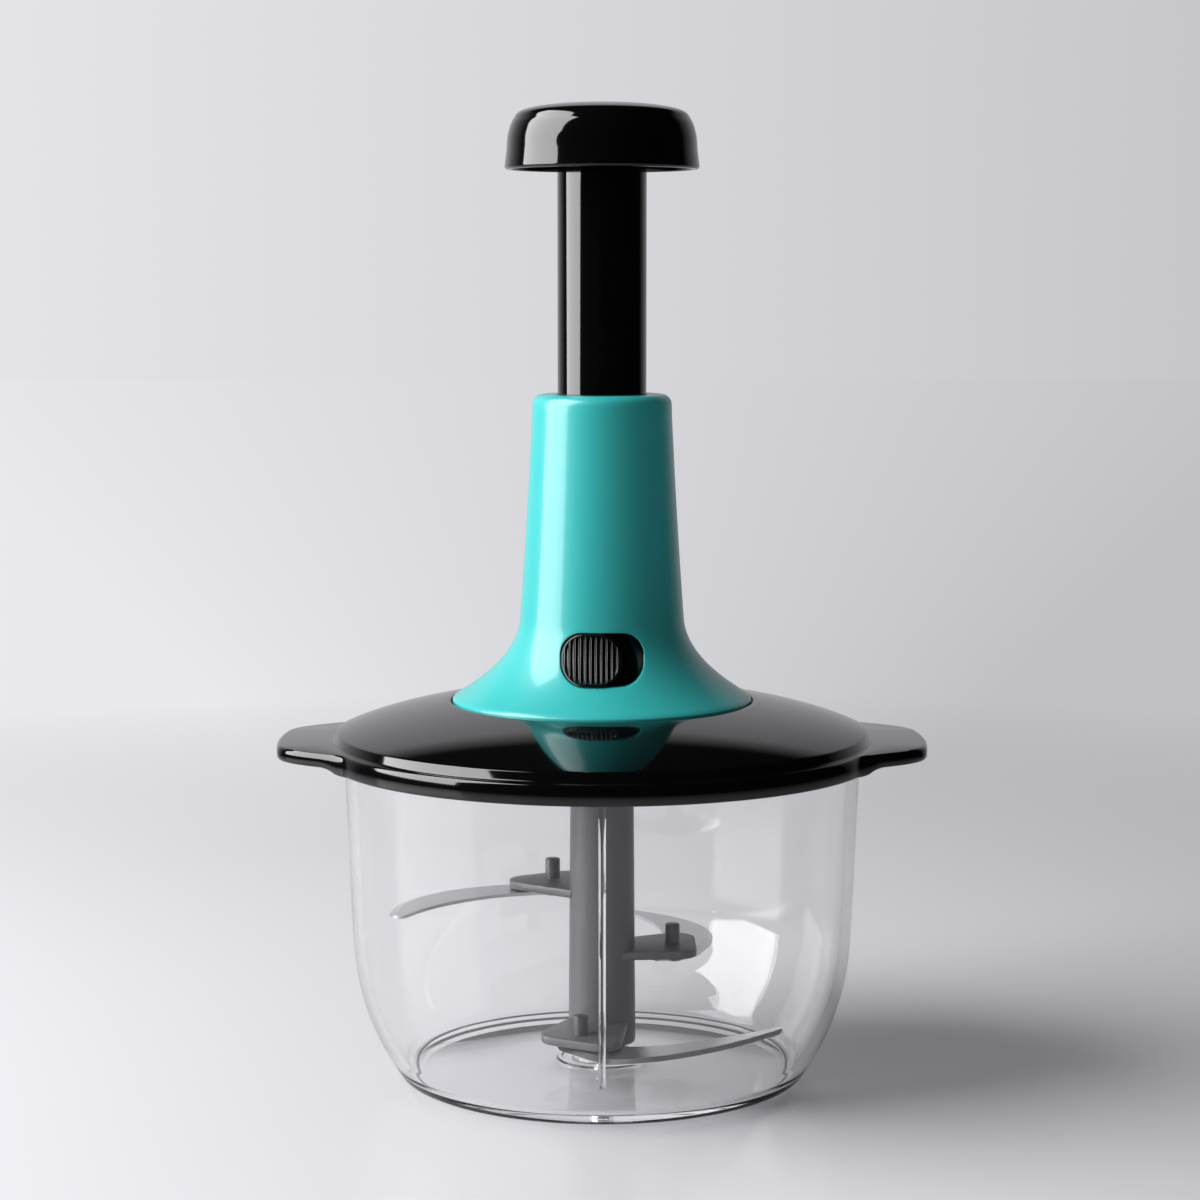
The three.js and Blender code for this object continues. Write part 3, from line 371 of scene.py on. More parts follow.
def placed(name, data):
    """A new object in the scene."""
    made = bpy.data.objects.new(name, data)
    bpy.context.scene.collection.objects.link(made)
    return made


class Skin:
    """Collects the faces of one piece, in millimetres, and makes its object."""

    def __init__(self):
        self.mesh = bmesh.new()

    def rows(self, rows, closed=True, looped=True, skip=None):
        """Joins rows of points by quads. closed joins the last row to the first, looped each row's ends."""
        grid = [[self.mesh.verts.new(Vector(point) * MM) for point in row] for row in rows]
        count = len(grid[0])
        for i in range(len(grid) - (0 if closed else 1)):
            following = grid[(i + 1) % len(grid)]
            for j in range(count - (0 if looped else 1)):
                if skip and skip(i, j):
                    continue
                after = (j + 1) % count
                self.mesh.faces.new((grid[i][j], grid[i][after], following[after], following[j]))
        return self

    def cap(self, row):
        self.mesh.faces.new([self.mesh.verts.new(Vector(point) * MM) for point in row])
        return self

    def solid(self, rows):
        """A closed body through rows of looped points, with a flat cap at each end."""
        return self.rows(rows, closed=False).cap(rows[0]).cap(rows[-1])

    def slab(self, front, back):
        """A closed body between two grids of points with equal rows."""
        self.rows(front, closed=False, looped=False).rows(back, closed=False, looped=False)
        for end in (0, -1):
            self.rows([front[end], back[end]], closed=False, looped=False)
        for end in (0, -1):
            sides = [[row[end] for row in grid] for grid in (front, back)]
            self.rows(sides, closed=False, looped=False)
        return self

    def post(self, profile, count, centre):
        """A round post through (radius, height) pairs, standing at a centre off the axis."""
        return self.solid([circle(radius, height, count, centre) for radius, height in profile])

    def turned(self, corners, count):
        """A closed outline of (radius, height) corners, rounded and turned round the axis."""
        profile = rounded(corners)
        return self.rows([spun(2 * math.pi * i / count, profile) for i in range(count)])

    def piece(self, name, key, body, slot, *nodes, crease=32):
        """Welds the faces into one object, with edges sharper than crease degrees left sharp."""
        bmesh.ops.remove_doubles(self.mesh, verts=self.mesh.verts, dist=WELD)
        bmesh.ops.dissolve_degenerate(self.mesh, edges=self.mesh.edges, dist=WELD)
        loose = [edge for edge in self.mesh.edges if not edge.link_faces]
        bmesh.ops.delete(self.mesh, geom=loose, context="EDGES")
        bmesh.ops.recalc_face_normals(self.mesh, faces=self.mesh.faces)
        for face in self.mesh.faces:
            face.smooth = True
        for edge in self.mesh.edges:
            edge.smooth = len(edge.link_faces) != 2 or edge.calc_face_angle(0) < math.radians(crease)
        data = bpy.data.meshes.new(name)
        self.mesh.to_mesh(data)
        self.mesh.free()
        data.materials.append(finish_for(key))
        made = placed(name, data)
        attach(made, body)
        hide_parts(*nodes)
        return made


# Finishes

class Socket:
    """One output in a finish's node tree. Sums and products on it add Math nodes."""

    def __init__(self, finish, output):
        self.finish = finish
        self.output = output

    def math(self, operation, first, second):
        return self.finish.node("ShaderNodeMath", {"operation": operation}, {0: first, 1: second})

    def __add__(self, other):
        return self.math("ADD", self, other)

    __radd__ = __add__

    def __mul__(self, other):
        return self.math("MULTIPLY", self, other)

    __rmul__ = __mul__


class Finish:
    """A material, or the world, whose nodes are added one expression at a time."""

    def __init__(self, owner):
        self.owner = owner
        owner.use_nodes = True
        self.tree = owner.node_tree
        self.tree.nodes.clear()

    def node(self, kind, settings=None, values=None, output=0):
        """Adds a node with its settings and its sockets' values or links, and gives one output."""
        made = self.tree.nodes.new(kind)
        for key, value in (settings or {}).items():
            if key == "stops":
                ramp = made.color_ramp
                while len(ramp.elements) < len(value):
                    ramp.elements.new(0.5)
                for element, (position, level) in zip(ramp.elements, value):
                    element.position = position
                    element.color = (level, level, level, 1)
            else:
                setattr(made, key, value)
        for key, value in (values or {}).items():
            if isinstance(value, Socket):
                self.tree.links.new(value.output, made.inputs[key])
            else:
                made.inputs[key].default_value = value
        return Socket(self, made.outputs[output])

    def place(self):
        return self.node("ShaderNodeTexCoord", output="Object")

    def ray(self, kind):
        return self.node("ShaderNodeLightPath", output=f"Is {kind} Ray")

    def noise(self, scale, detail, roughness=0.5, stretch=(1, 1, 1)):
        spot = self.node("ShaderNodeMapping", values={"Vector": self.place(), "Scale": stretch})
        values = {"Vector": spot, "Scale": scale, "Detail": detail, "Roughness": roughness}
        return self.node("ShaderNodeTexNoise", values=values)

    def ramp(self, factor, *stops):
        return self.node("ShaderNodeValToRGB", {"stops": stops}, {"Fac": factor})

    def blend(self, factor, first, second):
        """A colour from first at 0 to second at 1."""
        return self.node("ShaderNodeMix", {"data_type": "RGBA"}, {0: factor, 6: first, 7: second}, 2)

    def bump(self, height, strength, distance):
        values = {"Height": height, "Strength": strength, "Distance": distance}
        return self.node("ShaderNodeBump", values=values)

    def surface(self, values):
        return self.node("ShaderNodeBsdfPrincipled", values=values, output="BSDF")

    def done(self, shader, kind="ShaderNodeOutputMaterial"):
        made = self.tree.nodes.new(kind)
        self.tree.links.new(shader.output, made.inputs["Surface"])
        return self.owner


def shade(rgb, factor=1.0):
    return tuple(channel * factor for channel in rgb) + (1.0,)


def new_finish(name):
    return Finish(bpy.data.materials.new(name))


def moulded_plastic(name, rgb, roughness, ripple, coat=0.0, coat_roughness=0.06, specular=0.5):
    """Glossy moulded plastic: a faint ripple, cloudy sheen, and fine rub marks from handling."""
    finish = new_finish(name)
    cloud = finish.noise(28, 4)
    grain = finish.noise(900, 2)
    rubs = finish.ramp(finish.noise(240, 5, 0.7, (1, 1, 0.12)), (0.58, 0), (0.76, 1))
    waves = finish.noise(60, 1.5)
    base = finish.blend(cloud, shade(rgb, 0.96), shade(rgb, 1.04))
    return finish.done(finish.surface({
        "Base Color": finish.blend(rubs * 0.06, base, shade([c * 0.85 + 0.012 for c in rgb])),
        "Roughness": roughness + cloud * 0.03 + rubs * 0.05 + grain * 0.01,
        "Specular IOR Level": specular,
        "Coat Weight": coat,
        "Coat Roughness": coat_roughness,
        "Normal": finish.bump(waves + grain * 0.08, ripple, 0.0004),
    }))


def satin_plastic(name, rgb, roughness):
    """Satin plastic with a fine spark texture and flow marks up the moulding."""
    finish = new_finish(name)
    cloud = finish.noise(35, 4)
    spark = finish.noise(1600, 3, 0.6)
    flow = finish.noise(60, 3, 0.5, (1, 1, 0.15))
    base = finish.blend(cloud * 0.5 + flow * 0.5, shade(rgb, 0.88), shade(rgb, 1.12))
    return finish.done(finish.surface({
        "Base Color": base,
        "Roughness": roughness + cloud * 0.08 + spark * 0.05,
        "Normal": finish.bump(spark * 0.5 + flow * 0.3, 0.12, 0.0003),
    }))


def ground_steel(name, rgb, roughness, stretch):
    """Stainless steel with fine grinding lines along one direction and faint smears."""
    finish = new_finish(name)
    lines = finish.noise(420, 5, 0.65, stretch)
    smear = finish.noise(45, 3)
    return finish.done(finish.surface({
        "Base Color": finish.blend(lines * 0.6 + smear * 0.4, shade(rgb, 0.86), shade(rgb, 1.1)),
        "Metallic": 1.0,
        "Roughness": roughness + lines * 0.14 + smear * 0.08,
        "Normal": finish.bump(lines, 0.10, 0.0002),
    }))


def clear_plastic(name):
    """Clear moulded plastic: slightly uneven, with fine wash marks. Lamps and soft light pass through."""
    finish = new_finish(name)
    wash = finish.ramp(finish.noise(190, 6, 0.75, (1, 1, 0.3)), (0.60, 0), (0.78, 1))
    waves = finish.noise(38, 2)
    cloud = finish.noise(16, 3)
    glass = finish.surface({
        "Base Color": finish.blend(cloud, (0.972, 0.976, 0.982, 1), (0.990, 0.992, 0.995, 1)),
        "Roughness": 0.012 + wash * 0.05,
        "IOR": 1.40,
        "Transmission Weight": 1.0,
        "Normal": finish.bump(waves, 0.05, 0.0006),
    })
    through = finish.node("ShaderNodeBsdfTransparent", values={"Color": (0.91, 0.91, 0.92, 1)})
    unseen = finish.ray("Shadow") + finish.ray("Diffuse")
    return finish.done(finish.node("ShaderNodeMixShader", values={0: unseen, 1: glass, 2: through}))


def silicone_rubber(name, rgb):
    """Soft milky silicone with a dusty bloom."""
    finish = new_finish(name)
    bloom = finish.noise(120, 4)
    return finish.done(finish.surface({
        "Base Color": finish.blend(bloom, shade(rgb, 0.9), shade(rgb, 1.08)),
        "Roughness": 0.48 + bloom * 0.2,
        "Normal": finish.bump(finish.noise(700, 3), 0.1, 0.0002),
    }))


MAKERS = {
    "clear": lambda tint: clear_plastic("clear_moulding"),
    "black": lambda tint: moulded_plastic("black_moulding", tint.black, 0.05, 0.03, 0.35),
    "lock": lambda tint: moulded_plastic("lock_moulding", tint.black, 0.20, 0.02, specular=0.4),
    "teal": lambda tint: moulded_plastic("teal_moulding", tint.teal, 0.34, 0.02, 0.5, 0.10),
    "grey": lambda tint: satin_plastic("grey_moulding", tint.grey, 0.36),
    "peg": lambda tint: satin_plastic("peg_moulding", [c * 0.5 for c in tint.grey], 0.30),
    "acetal": lambda tint: satin_plastic("natural_acetal", tint.acetal, 0.34),
    "silicone": lambda tint: silicone_rubber("milky_silicone", tint.silicone),
    "blade": lambda tint: ground_steel("ground_blade_steel", tint.steel, 0.22, (1, 1, 0.05)),
    "steel": lambda tint: ground_steel("bright_steel", tint.steel, 0.14, (1, 1, 0.2)),
}


def finish_for(key):
    """The material of one kind, made the first time that it is asked for."""
    if key not in finish_for.made:
        finish_for.made[key] = MAKERS[key](bpy.context.scene.chopper_finish)
    return finish_for.made[key]


finish_for.made = {}


# Bowl

def bowl_side(rim_radius, rim_height, s):
    """The bowl's outside from its foot to just under its rim."""
    start = (s.foot_radius + 2, 1)
    out_of_foot = (s.foot_radius + 10.3, 13.5)
    end = (s.shoulder_radius, s.shoulder_height)
    into_shoulder = (end[0] - 0.8, end[1] - 18)
    out_of_shoulder = (end[0] + 0.6, end[1] + 14)
    middle = ((end[0] + rim_radius) / 2, (end[1] + rim_height) / 2)
    lower = curve(30, start, out_of_foot, into_shoulder, end)
    upper = curve(12, end, out_of_shoulder, middle, (rim_radius, rim_height - 1))
    return lower + upper[1:]


# Across the ridge up the bowl's front: share of its half width, share of its height
RIDGE_SECTION = [(-1.2, 0), (-1, 0), (-0.9, 0.3), (-0.75, 0.58), (-0.55, 0.82), (-0.3, 0.96), (0, 1),
                 (0.3, 0.96), (0.55, 0.82), (0.75, 0.58), (0.9, 0.3), (1, 0), (1.2, 0)]


class CHOPPER_OT_bowl(bpy.types.Operator):
    """Build the clear bowl, its pin, and the lid's seal and inner cover that close it"""

    bl_idname = "chopper.bowl"
    bl_label = "Bowl"

    def execute(self, context):
        s = sizes("chopper_bowl")
        high = box("bowl")[1]
        floor, boss = s.floor_top, s.boss_radius
        outside = bowl_side(high.x, high.z, s)
        inside = [p for p in beside(outside, s.wall) if p[1] > floor + 5]
        ridge_ends = (s.ridge_foot, s.ridge_foot + 2, s.ridge_top - 2, s.ridge_top)
        inner_corner = (inside[0][0] - 2.6, floor, 4.5)
        under = floor - s.floor_wall
        boss_top = floor + s.boss_height
        ring_in, ring_out, ring_top = boss + 3.6, boss + 5.4, floor + 0.5
        pin_low, pin_high = box("bowl_pin")
        hole, hole_foot = pin_high.x + GAP, pin_low.z - GAP
        foot_inner = s.foot_radius - s.foot_width

        def profile(proud):
            side = []
            for radius, z in outside:
                ends = smooth(z, *ridge_ends[:2]) * (1 - smooth(z, *ridge_ends[2:]))
                side.append((radius + proud * ends, z))
            return rounded([
                (0, under), (foot_inner, under, 0.6), (foot_inner + 1, 0, 0.4), (s.foot_radius, 0, 0.7),
                *side,
                (high.x, high.z, 0.8), (high.x - s.wall, high.z, 0.8),
                *reversed(inside),
                inner_corner,
                (ring_out, floor, 0.3), (ring_out - 0.3, ring_top, 0.2), (ring_in + 0.3, ring_top, 0.2),
                (ring_in, floor, 0.3), (boss + 0.6, floor, 0.4), (boss, boss_top, 0.6),
                (hole + 0.6, boss_top, 0.2), (hole, boss_top - 0.6, 0.2), (hole, hole_foot), (0, hole_foot),
            ])

        half_turn = s.ridge_width / 2 / s.shoulder_radius
        around = 224
        columns = [(half_turn * place, s.ridge_proud * rise) for place, rise in RIDGE_SECTION]
        columns += [(2 * math.pi * i / around, 0) for i in range(1, around)]
        rows = [spun(turn, profile(proud)) for turn, proud in columns]
        Skin().rows(rows).piece("clear_bowl", "clear", "bowl_body", "clear_plastic", "bowl")
        self.pin(pin_low, pin_high)
        self.seal()
        self.cover()
        return {"FINISHED"}

    def pin(self, low, high):
        radius = high.x
        Skin().turned([
            (0, low.z), (radius, low.z, 0.2), (radius, high.z - 1.4, 0.5), (radius * 0.45, high.z, 0.5),
            (0, high.z),
        ], 48).piece("turning_pin", "steel", "bowl_body", "steel", "bowl_pin")

    def seal(self):
        low, high = box("lid_seal")
        inner = box("bowl")[1].x - sizes("chopper_bowl").wall - GAP
        lip = (inner + high.x) / 2
        third = (high.z - low.z) / 3
        Skin().turned([
            (inner, low.z + third, 0.4), (lip - 0.4, low.z, 0.3), (lip + 0.4, low.z, 0.3),
            (high.x, low.z + third, 0.4), (high.x, low.z + 1.7 * third, 0.2),
            (high.x - 0.3, low.z + 2 * third, 0.2), (high.x, low.z + 2.3 * third, 0.2),
            (high.x, high.z, 0.5), (inner, high.z, 0.5),
        ], 192).piece("ribbed_seal", "silicone", "lid_body", "seal_rubber", "lid_seal")

    def cover(self):
        low, high = box("lid_inner_cover")
        lid = sizes("chopper_lid")
        inner = lid.hub_radius + lid.hub_wall + GAP
        wall = (high.z - low.z) / 2
        groove_depth, groove_width = 0.5, 3
        groove_top = low.z + groove_depth
        grooves = []
        for ring in (26, 40, 54):
            far = ring + groove_width
            grooves += [(ring, low.z, 0.3), (ring + groove_depth, groove_top, 0.3),
                        (far - groove_depth, groove_top, 0.3), (far, low.z, 0.3)]
        Skin().turned([
            (inner, low.z, 0.4), *grooves, (high.x, low.z, 0.8), (high.x, high.z, 0.5),
            (high.x - wall, high.z, 0.5), (high.x - wall, low.z + wall, 0.6), (inner, low.z + wall, 0.4),
        ], 192).piece("inner_cover", "black", "lid_body", "black_plastic", "lid_inner_cover")


# Lid

class CHOPPER_OT_lid(bpy.types.Operator):
    """Build the domed lid with its two ears, its recess and its hub"""

    bl_idname = "chopper.lid"
    bl_label = "Lid"

    def execute(self, context):
        s = sizes("chopper_lid")
        low, high = box("lid")
        bowl_high = box("bowl")[1]
        round_radius = high.y
        bottom = bowl_high.z - s.skirt_drop
        top = bottom + s.rim_thickness
        dome_radius = round_radius - s.dome_inset
        dome_foot = top + s.dome_foot
        floor = high.z - s.recess_depth
        recess = box("tower_housing")[1].x + WIDE_GAP
        over_dome = (dome_radius - 12, high.z - 3.7)
        dome = curve(26, (recess, high.z), over_dome, (dome_radius, dome_foot))
        channel_out = bowl_high.x + WIDE_GAP
        channel_in = bowl_high.x - sizes("chopper_bowl").wall - WIDE_GAP
        channel_top = box("lid_seal")[1].z + GAP
        plug_in = channel_in - 2.2
        hollow = [p for p in beside(dome, -s.wall) if recess + 2.4 < p[0] < plug_in - 1]
        hub_out = s.hub_radius + s.hub_wall
        under_floor = floor - 2.6
        plug_foot = bowl_high.z - 2.4

        def profile(angle):
            off = abs(math.atan2(math.sin(2 * angle), math.cos(2 * angle))) / 2
            ear = 1 - smooth(off, s.ear_flat, s.ear_blend)
            rim = round_radius + (high.x - round_radius) * ear
            under = bottom + s.ear_lift * smooth(rim, round_radius + 0.5, round_radius + 5)
            pocket_in = min(round_radius + 0.5, rim - 1.4)
            pocket_out = max(rim - s.ear_wall, pocket_in)
            depth = smooth(pocket_out - pocket_in, 0.2, 3)
            pocket_top = under + (top - s.ear_wall - under) * depth
            return rounded([
                (s.hub_radius, floor, 0.3), (recess, floor, 0.4), (recess, high.z, 0.35),
                *dome[1:-1],
                (dome_radius, dome_foot, 0.5), (dome_radius + 1, top, 0.7),
                (rim, top, s.rim_round), (rim, under, s.rim_round),
                (pocket_out, under, 0.3), (pocket_out, pocket_top, 0.3),
                (pocket_in, pocket_top, 0.3), (pocket_in, bottom, 0.3),
                (channel_out + 0.8, bottom, 0.3), (channel_out, bottom + 0.6, 0.3),
                (channel_out, channel_top, 0.3), (channel_in, channel_top, 0.3),
                (channel_in, plug_foot, 0.6), (plug_in, plug_foot, 0.6), (plug_in, channel_top + 1.4, 0.5),
                *reversed(hollow),
                (recess - 1.6, under_floor, 0.8), (hub_out, under_floor, 0.8),
                (hub_out, low.z, 0.4), (s.hub_radius, low.z, 0.4),
            ], 3)

        # Columns at every degree across an ear, and wider apart between the ears
        near = int(math.degrees(s.ear_blend)) + 4
        count = 26
        far = [near + (90 - near) * (i + 1) / count for i in range(count)]
        offsets = [-step for step in reversed(far[:-1])] + list(range(-near, near + 1)) + far
        columns = [math.radians(ear + offset) for ear in (0, 180) for offset in offsets]
        rows = []
        for angle in columns:
            across, along = math.cos(angle), math.sin(angle)
            rows.append([(r * across, r * along, z) for r, z in profile(angle)])
        Skin().rows(rows).piece("domed_lid", "black", "lid_body", "black_plastic", "lid")
        return {"FINISHED"}


# Tower

def tower_side(s):
    """The housing's outside from its foot to its mouth."""
    low, high = box("tower_housing")
    base = low.z
    waist = (s.waist_radius, base + s.waist_height)
    into_waist = (waist[0] + 1.2, waist[1] - 10)
    out_of_waist = (waist[0] - 2.1, waist[1] + 26.8)
    foot, out_of_foot = (high.x - 0.8, base + 3.2), (high.x - 9.3, base + 8.5)
    flare = curve(44, foot, out_of_foot, into_waist, waist)
    neck = curve(24, waist, out_of_waist, (s.neck_radius, high.z - 6))
    return flare + neck[1:]


def on_line(line, x, height):
    """A point on the front of the turned line, at a distance x from its middle."""
    radius = radius_at(line, height)
    return (x, -math.sqrt(radius * radius - x * x), height)


def nearest(line, height):
    """The place in a line of its point nearest to a height."""
    return min(range(len(line)), key=lambda i: abs(line[i][1] - height))


def window_rows(line, turns, first, last, window, steps):
    """Rows of points on a turned line, from a window's edge out to the edge of a block of its grid."""
    edge = [(turn, line[first][1]) for turn in turns[:-1]]
    edge += [(turns[-1], line[row][1]) for row in range(first, last)]
    edge += [(turn, line[last][1]) for turn in reversed(turns[1:])]
    edge += [(turns[0], line[row][1]) for row in range(last, first, -1)]
    rows = []
    for step in range(steps + 1):
        share = step / steps
        row = []
        for (x, height), (turn, z) in zip(window, edge):
            start = math.asin(x / radius_at(line, height))
            up = height + (z - height) * share
            row += spun(start + (turn - start) * share, [(radius_at(line, up), up)])
        rows.append(row)
    return rows


class CHOPPER_OT_tower(bpy.types.Operator):
    """Build the bell tower with its slot, its screw bosses and screws, and its guide bush"""

    bl_idname = "chopper.tower"
    bl_label = "Tower"

    def execute(self, context):
        s = sizes("chopper_tower")
        low, high = box("tower_housing")
        bush_low, bush_high = box("plunger_guide_bush")
        seat, seat_low, seat_high = bush_high.x + GAP, bush_low.z - GAP, bush_high.z + GAP
        outside = tower_side(s)
        inside = [p for p in beside(outside, s.wall) if low.z + 3 < p[1] < bush_low.z - 1]
        mouth = box("plunger_tube")[1].x + SLIDING_GAP
        foot = rounded([
            (0, 0), (high.x - 3.4, low.z, 0.3), (high.x, low.z, 0.6), (high.x, low.z + 2.4, 0.6),
            outside[0], outside[4],
        ])[1:-2]
        top = rounded([
            outside[-4], outside[-1], (s.neck_radius - 0.1, high.z, 3.4), (mouth, high.z, 0.6),
            (mouth, seat_high, 0.2), (seat, seat_high, 0.2), (seat, seat_low, 0.3), inside[-1], inside[-4],
        ])[2:-2]
        profile = foot + outside + top + list(reversed(inside))
        # The block of the grid, to either side of the front, that the window's rows replace
        around, reach = 192, 24
        block_low, block_high = low.z + 5.6, low.z + 31
        turns = [2 * math.pi * i / around for i in range(-reach, reach + 1)]
        first, last = nearest(outside, block_low), nearest(outside, block_high)
        in_first, in_last = nearest(inside, block_low), nearest(inside, block_high)
        outer_from = len(foot) + first
        outer_to = len(foot) + last
        inner_from = len(profile) - 1 - in_last
        inner_to = len(profile) - 1 - in_first

        def skip(column, row):
            in_block = column < reach or column >= around - reach
            return in_block and (outer_from <= row < outer_to or inner_from <= row < inner_to)

        rows = [spun(2 * math.pi * i / around, profile) for i in range(around)]
        skin = Skin().rows(rows, skip=skip)
        centre = low.z + s.slot_rise

        def window(spread, up):
            points = window_loop(s.slot_width / 2 + spread, s.slot_height / 2 + spread,
                                 s.slot_corner + spread, 2 * reach, up)
            return [(x, centre + z) for x, z in points]

        outer = window_rows(outside, turns, first, last, window(0, last - first), 10)
        edge = []
        edge_steps = 4
        for step in range(1, edge_steps + 1):
            angle = math.pi / 2 * step / edge_steps
            spread = -s.slot_round * math.sin(angle)
            sunk = s.slot_round * (1 - math.cos(angle))
            loop = [on_line(outside, x, z) for x, z in window(spread, last - first)]
            edge.append([(x, y + sunk, z) for x, y, z in loop])
        skin.rows(list(reversed(outer)) + edge, closed=False)
        up = in_last - in_first
        inner = window_rows(inside, turns, in_first, in_last, window(-s.slot_round, up), 6)
        skin.rows(inner, closed=False)
        behind = [on_line(inside, x, z) for x, z in window(-s.slot_round, last - first)]
        skin.rows([edge[-1], behind], closed=False)
        self.bosses(skin, low.z, inside)
        skin.piece("bell_tower", "teal", "lid_body", "teal_plastic", "tower_housing")
        self.bush(bush_low, bush_high, mouth)
        return {"FINISHED"}

    def bosses(self, skin, base, inside):
        """Each boss stands on the lid and ends where the housing's inside comes too near."""
        wide, bore, nearest_wall = 3.6, 1.7, 2.2
        shank, head_thickness, recess, recess_depth, point = 1.5, 3.2, 1.0, 0.5, 0.02
        for number in (1, 2, 3):
            name = f"housing_screw_{number}"
            low, high = box(name)
            centre = middle_of(low, high)
            top = high.z - 1.2
            while radius_at(inside, top) < math.hypot(*centre) + nearest_wall:
                top -= 0.3
            boss = [(wide, base), (wide, top), (bore, top), (bore, base)]
            skin.rows([circle(radius, height, 32, centre) for radius, height in boss])
            head = high.x - centre[0]
            head_top = base - head_thickness
            Skin().post([
                (point, low.z + recess_depth), (recess, low.z + recess_depth), (recess + 0.1, low.z),
                (head - 0.7, low.z), (head, low.z + 0.7), (head, head_top), (shank, head_top),
                (shank, high.z - 0.3), (point, high.z),
            ], 32, centre).piece(f"case_screw_{number}", "steel", "lid_body", "steel", name)

    def bush(self, low, high, inner):
        Skin().turned([
            (inner, low.z, 0.5), (high.x, low.z, 0.4), (high.x, high.z, 0.3), (inner, high.z, 0.3),
        ], 96).piece("guide_ring", "acetal", "lid_body", "white_plastic", "plunger_guide_bush")


# Plunger

def coil(bottom, top, radius, wire, turns):
    """Rings along the wire of a spring that has a closed turn at each end."""
    closed_rise = 2.1 * wire
    open_rise = top - bottom - 2 * wire - 2 * closed_rise
    rings = []
    per_turn = 32
    for step in range(turns * per_turn + 1):
        turn = step / per_turn
        rise = open_rise * min(max((turn - 1) / (turns - 2), 0), 1)
        rise += closed_rise * (min(turn, 1) + max(turn - turns + 1, 0))
        across, along = math.cos(2 * math.pi * turn), math.sin(2 * math.pi * turn)
        section = circle(wire, 0, 10, (radius, bottom + wire + rise))
        rings.append([(out * across, out * along, height) for out, height, _ in section])
    return rings


# Down the knob from its middle to its lip: share of its radius, share of its height
KNOB_CROWN = [(0, 0), (0.46, 0.016), (0.806, 0.107), (0.913, 0.262), (0.965, 0.497), (0.979, 0.738), (1, 1)]


class CHOPPER_OT_plunger(bpy.types.Operator):
    """Build the mushroom knob, the plunger's tube and the return spring inside it"""

    bl_idname = "chopper.plunger"
    bl_label = "Plunger"

    def execute(self, context):
        s = sizes("chopper_plunger")
        low, high = box("push_knob")
        tube = box("plunger_tube")
        lip = low.z + 0.7
        fall = high.z - lip
        crown = spline([(out * high.x, high.z - down * fall) for out, down in KNOB_CROWN], 90)
        under = high.z - 3
        collar, collar_wall, collar_foot = tube[1].x + SLIDING_GAP, 2, under - 9
        core_hole = collar - 2
        skirt = [p for p in beside(crown, -s.knob_wall) if lip + 1.2 < p[1] < under - 3]
        core_top = box("knob_core")[1].z + GAP
        screw_hole, hole_top = 1.8, under + 1
        Skin().turned([
            *crown[:-2], (high.x, lip, 0.5), (high.x - 0.5, low.z, 0.5),
            (high.x - s.knob_wall + 0.3, low.z, 0.4),
            *reversed(skirt),
            (s.knob_hollow, under, 3), (collar + collar_wall, under, 0.6),
            (collar + collar_wall, collar_foot, 0.4), (collar, collar_foot, 0.3), (collar, under),
            (core_hole, under), (core_hole, core_top), (screw_hole, core_top), (screw_hole, hole_top),
            (0, hole_top),
        ], 176).piece("knob_cap", "black", "plunger", "black_plastic", "push_knob")
        self.tube(s, *tube)
        self.spring(s, *box("return_spring"))
        return {"FINISHED"}

    def spring(self, s, low, high):
        """The spring stands on its lower end, with a mesh of its own. The share of its length left at the
        plunger's full stroke is worked out but not used.
        """
        rings = coil(low.z, high.z, high.x - s.spring_wire, s.spring_wire, s.spring_turns)
        spring = Skin().solid(rings).piece("coil_spring", "steel", "lid_body", "steel", "return_spring")
        left = 1 - joint("plunger_press")["range_m"][1] / MM / (high.z - low.z)
        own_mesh(spring)

    def tube(self, s, low, high):
        """The tube, with the guide's groove down its back and the latch's openings in its foot."""
        radius = high.x
        bore = radius - s.wall
        full_turn = 2 * math.pi
        groove = (low.z + s.key_foot, low.z + s.key_foot + s.key_length)
        key = math.asin(s.key_width / 2 / radius)
        latch = math.asin(s.latch_width / 2 / radius)
        lock_turn = math.radians(joint("lock_slide")["range_deg"][1])
        openings = [(side - latch, side + latch + lock_turn) for side in (0, math.pi)]

        def profile(turn):
            inner = radius - s.key_depth if abs(turn - math.pi) < key else radius
            opened = any((turn - start) % full_turn < end - start for start, end in openings)
            foot = low.z + s.latch_height if opened else low.z
            groove_foot = max(groove[0], foot + 0.2)
            return rounded([
                (bore, foot, 0.3), (radius, foot, 0.4), (radius, groove_foot), (inner, groove_foot),
                (inner, groove[1]), (radius, groove[1]), (radius, high.z, 0.3), (bore, high.z, 0.3),
            ])

        edges = [math.pi - key, math.pi + key, *openings[0], *openings[1]]
        beside_edge = 0.0004
        around = 128
        turns = [full_turn * i / around for i in range(around)]
        turns += [(edge + side) % full_turn for edge in edges for side in (-beside_edge, beside_edge)]
        rows = [spun(turn, profile(turn)) for turn in sorted(turns)]
        Skin().rows(rows).piece("plunger_shell", "black", "plunger", "black_plastic", "plunger_tube")


# Lock

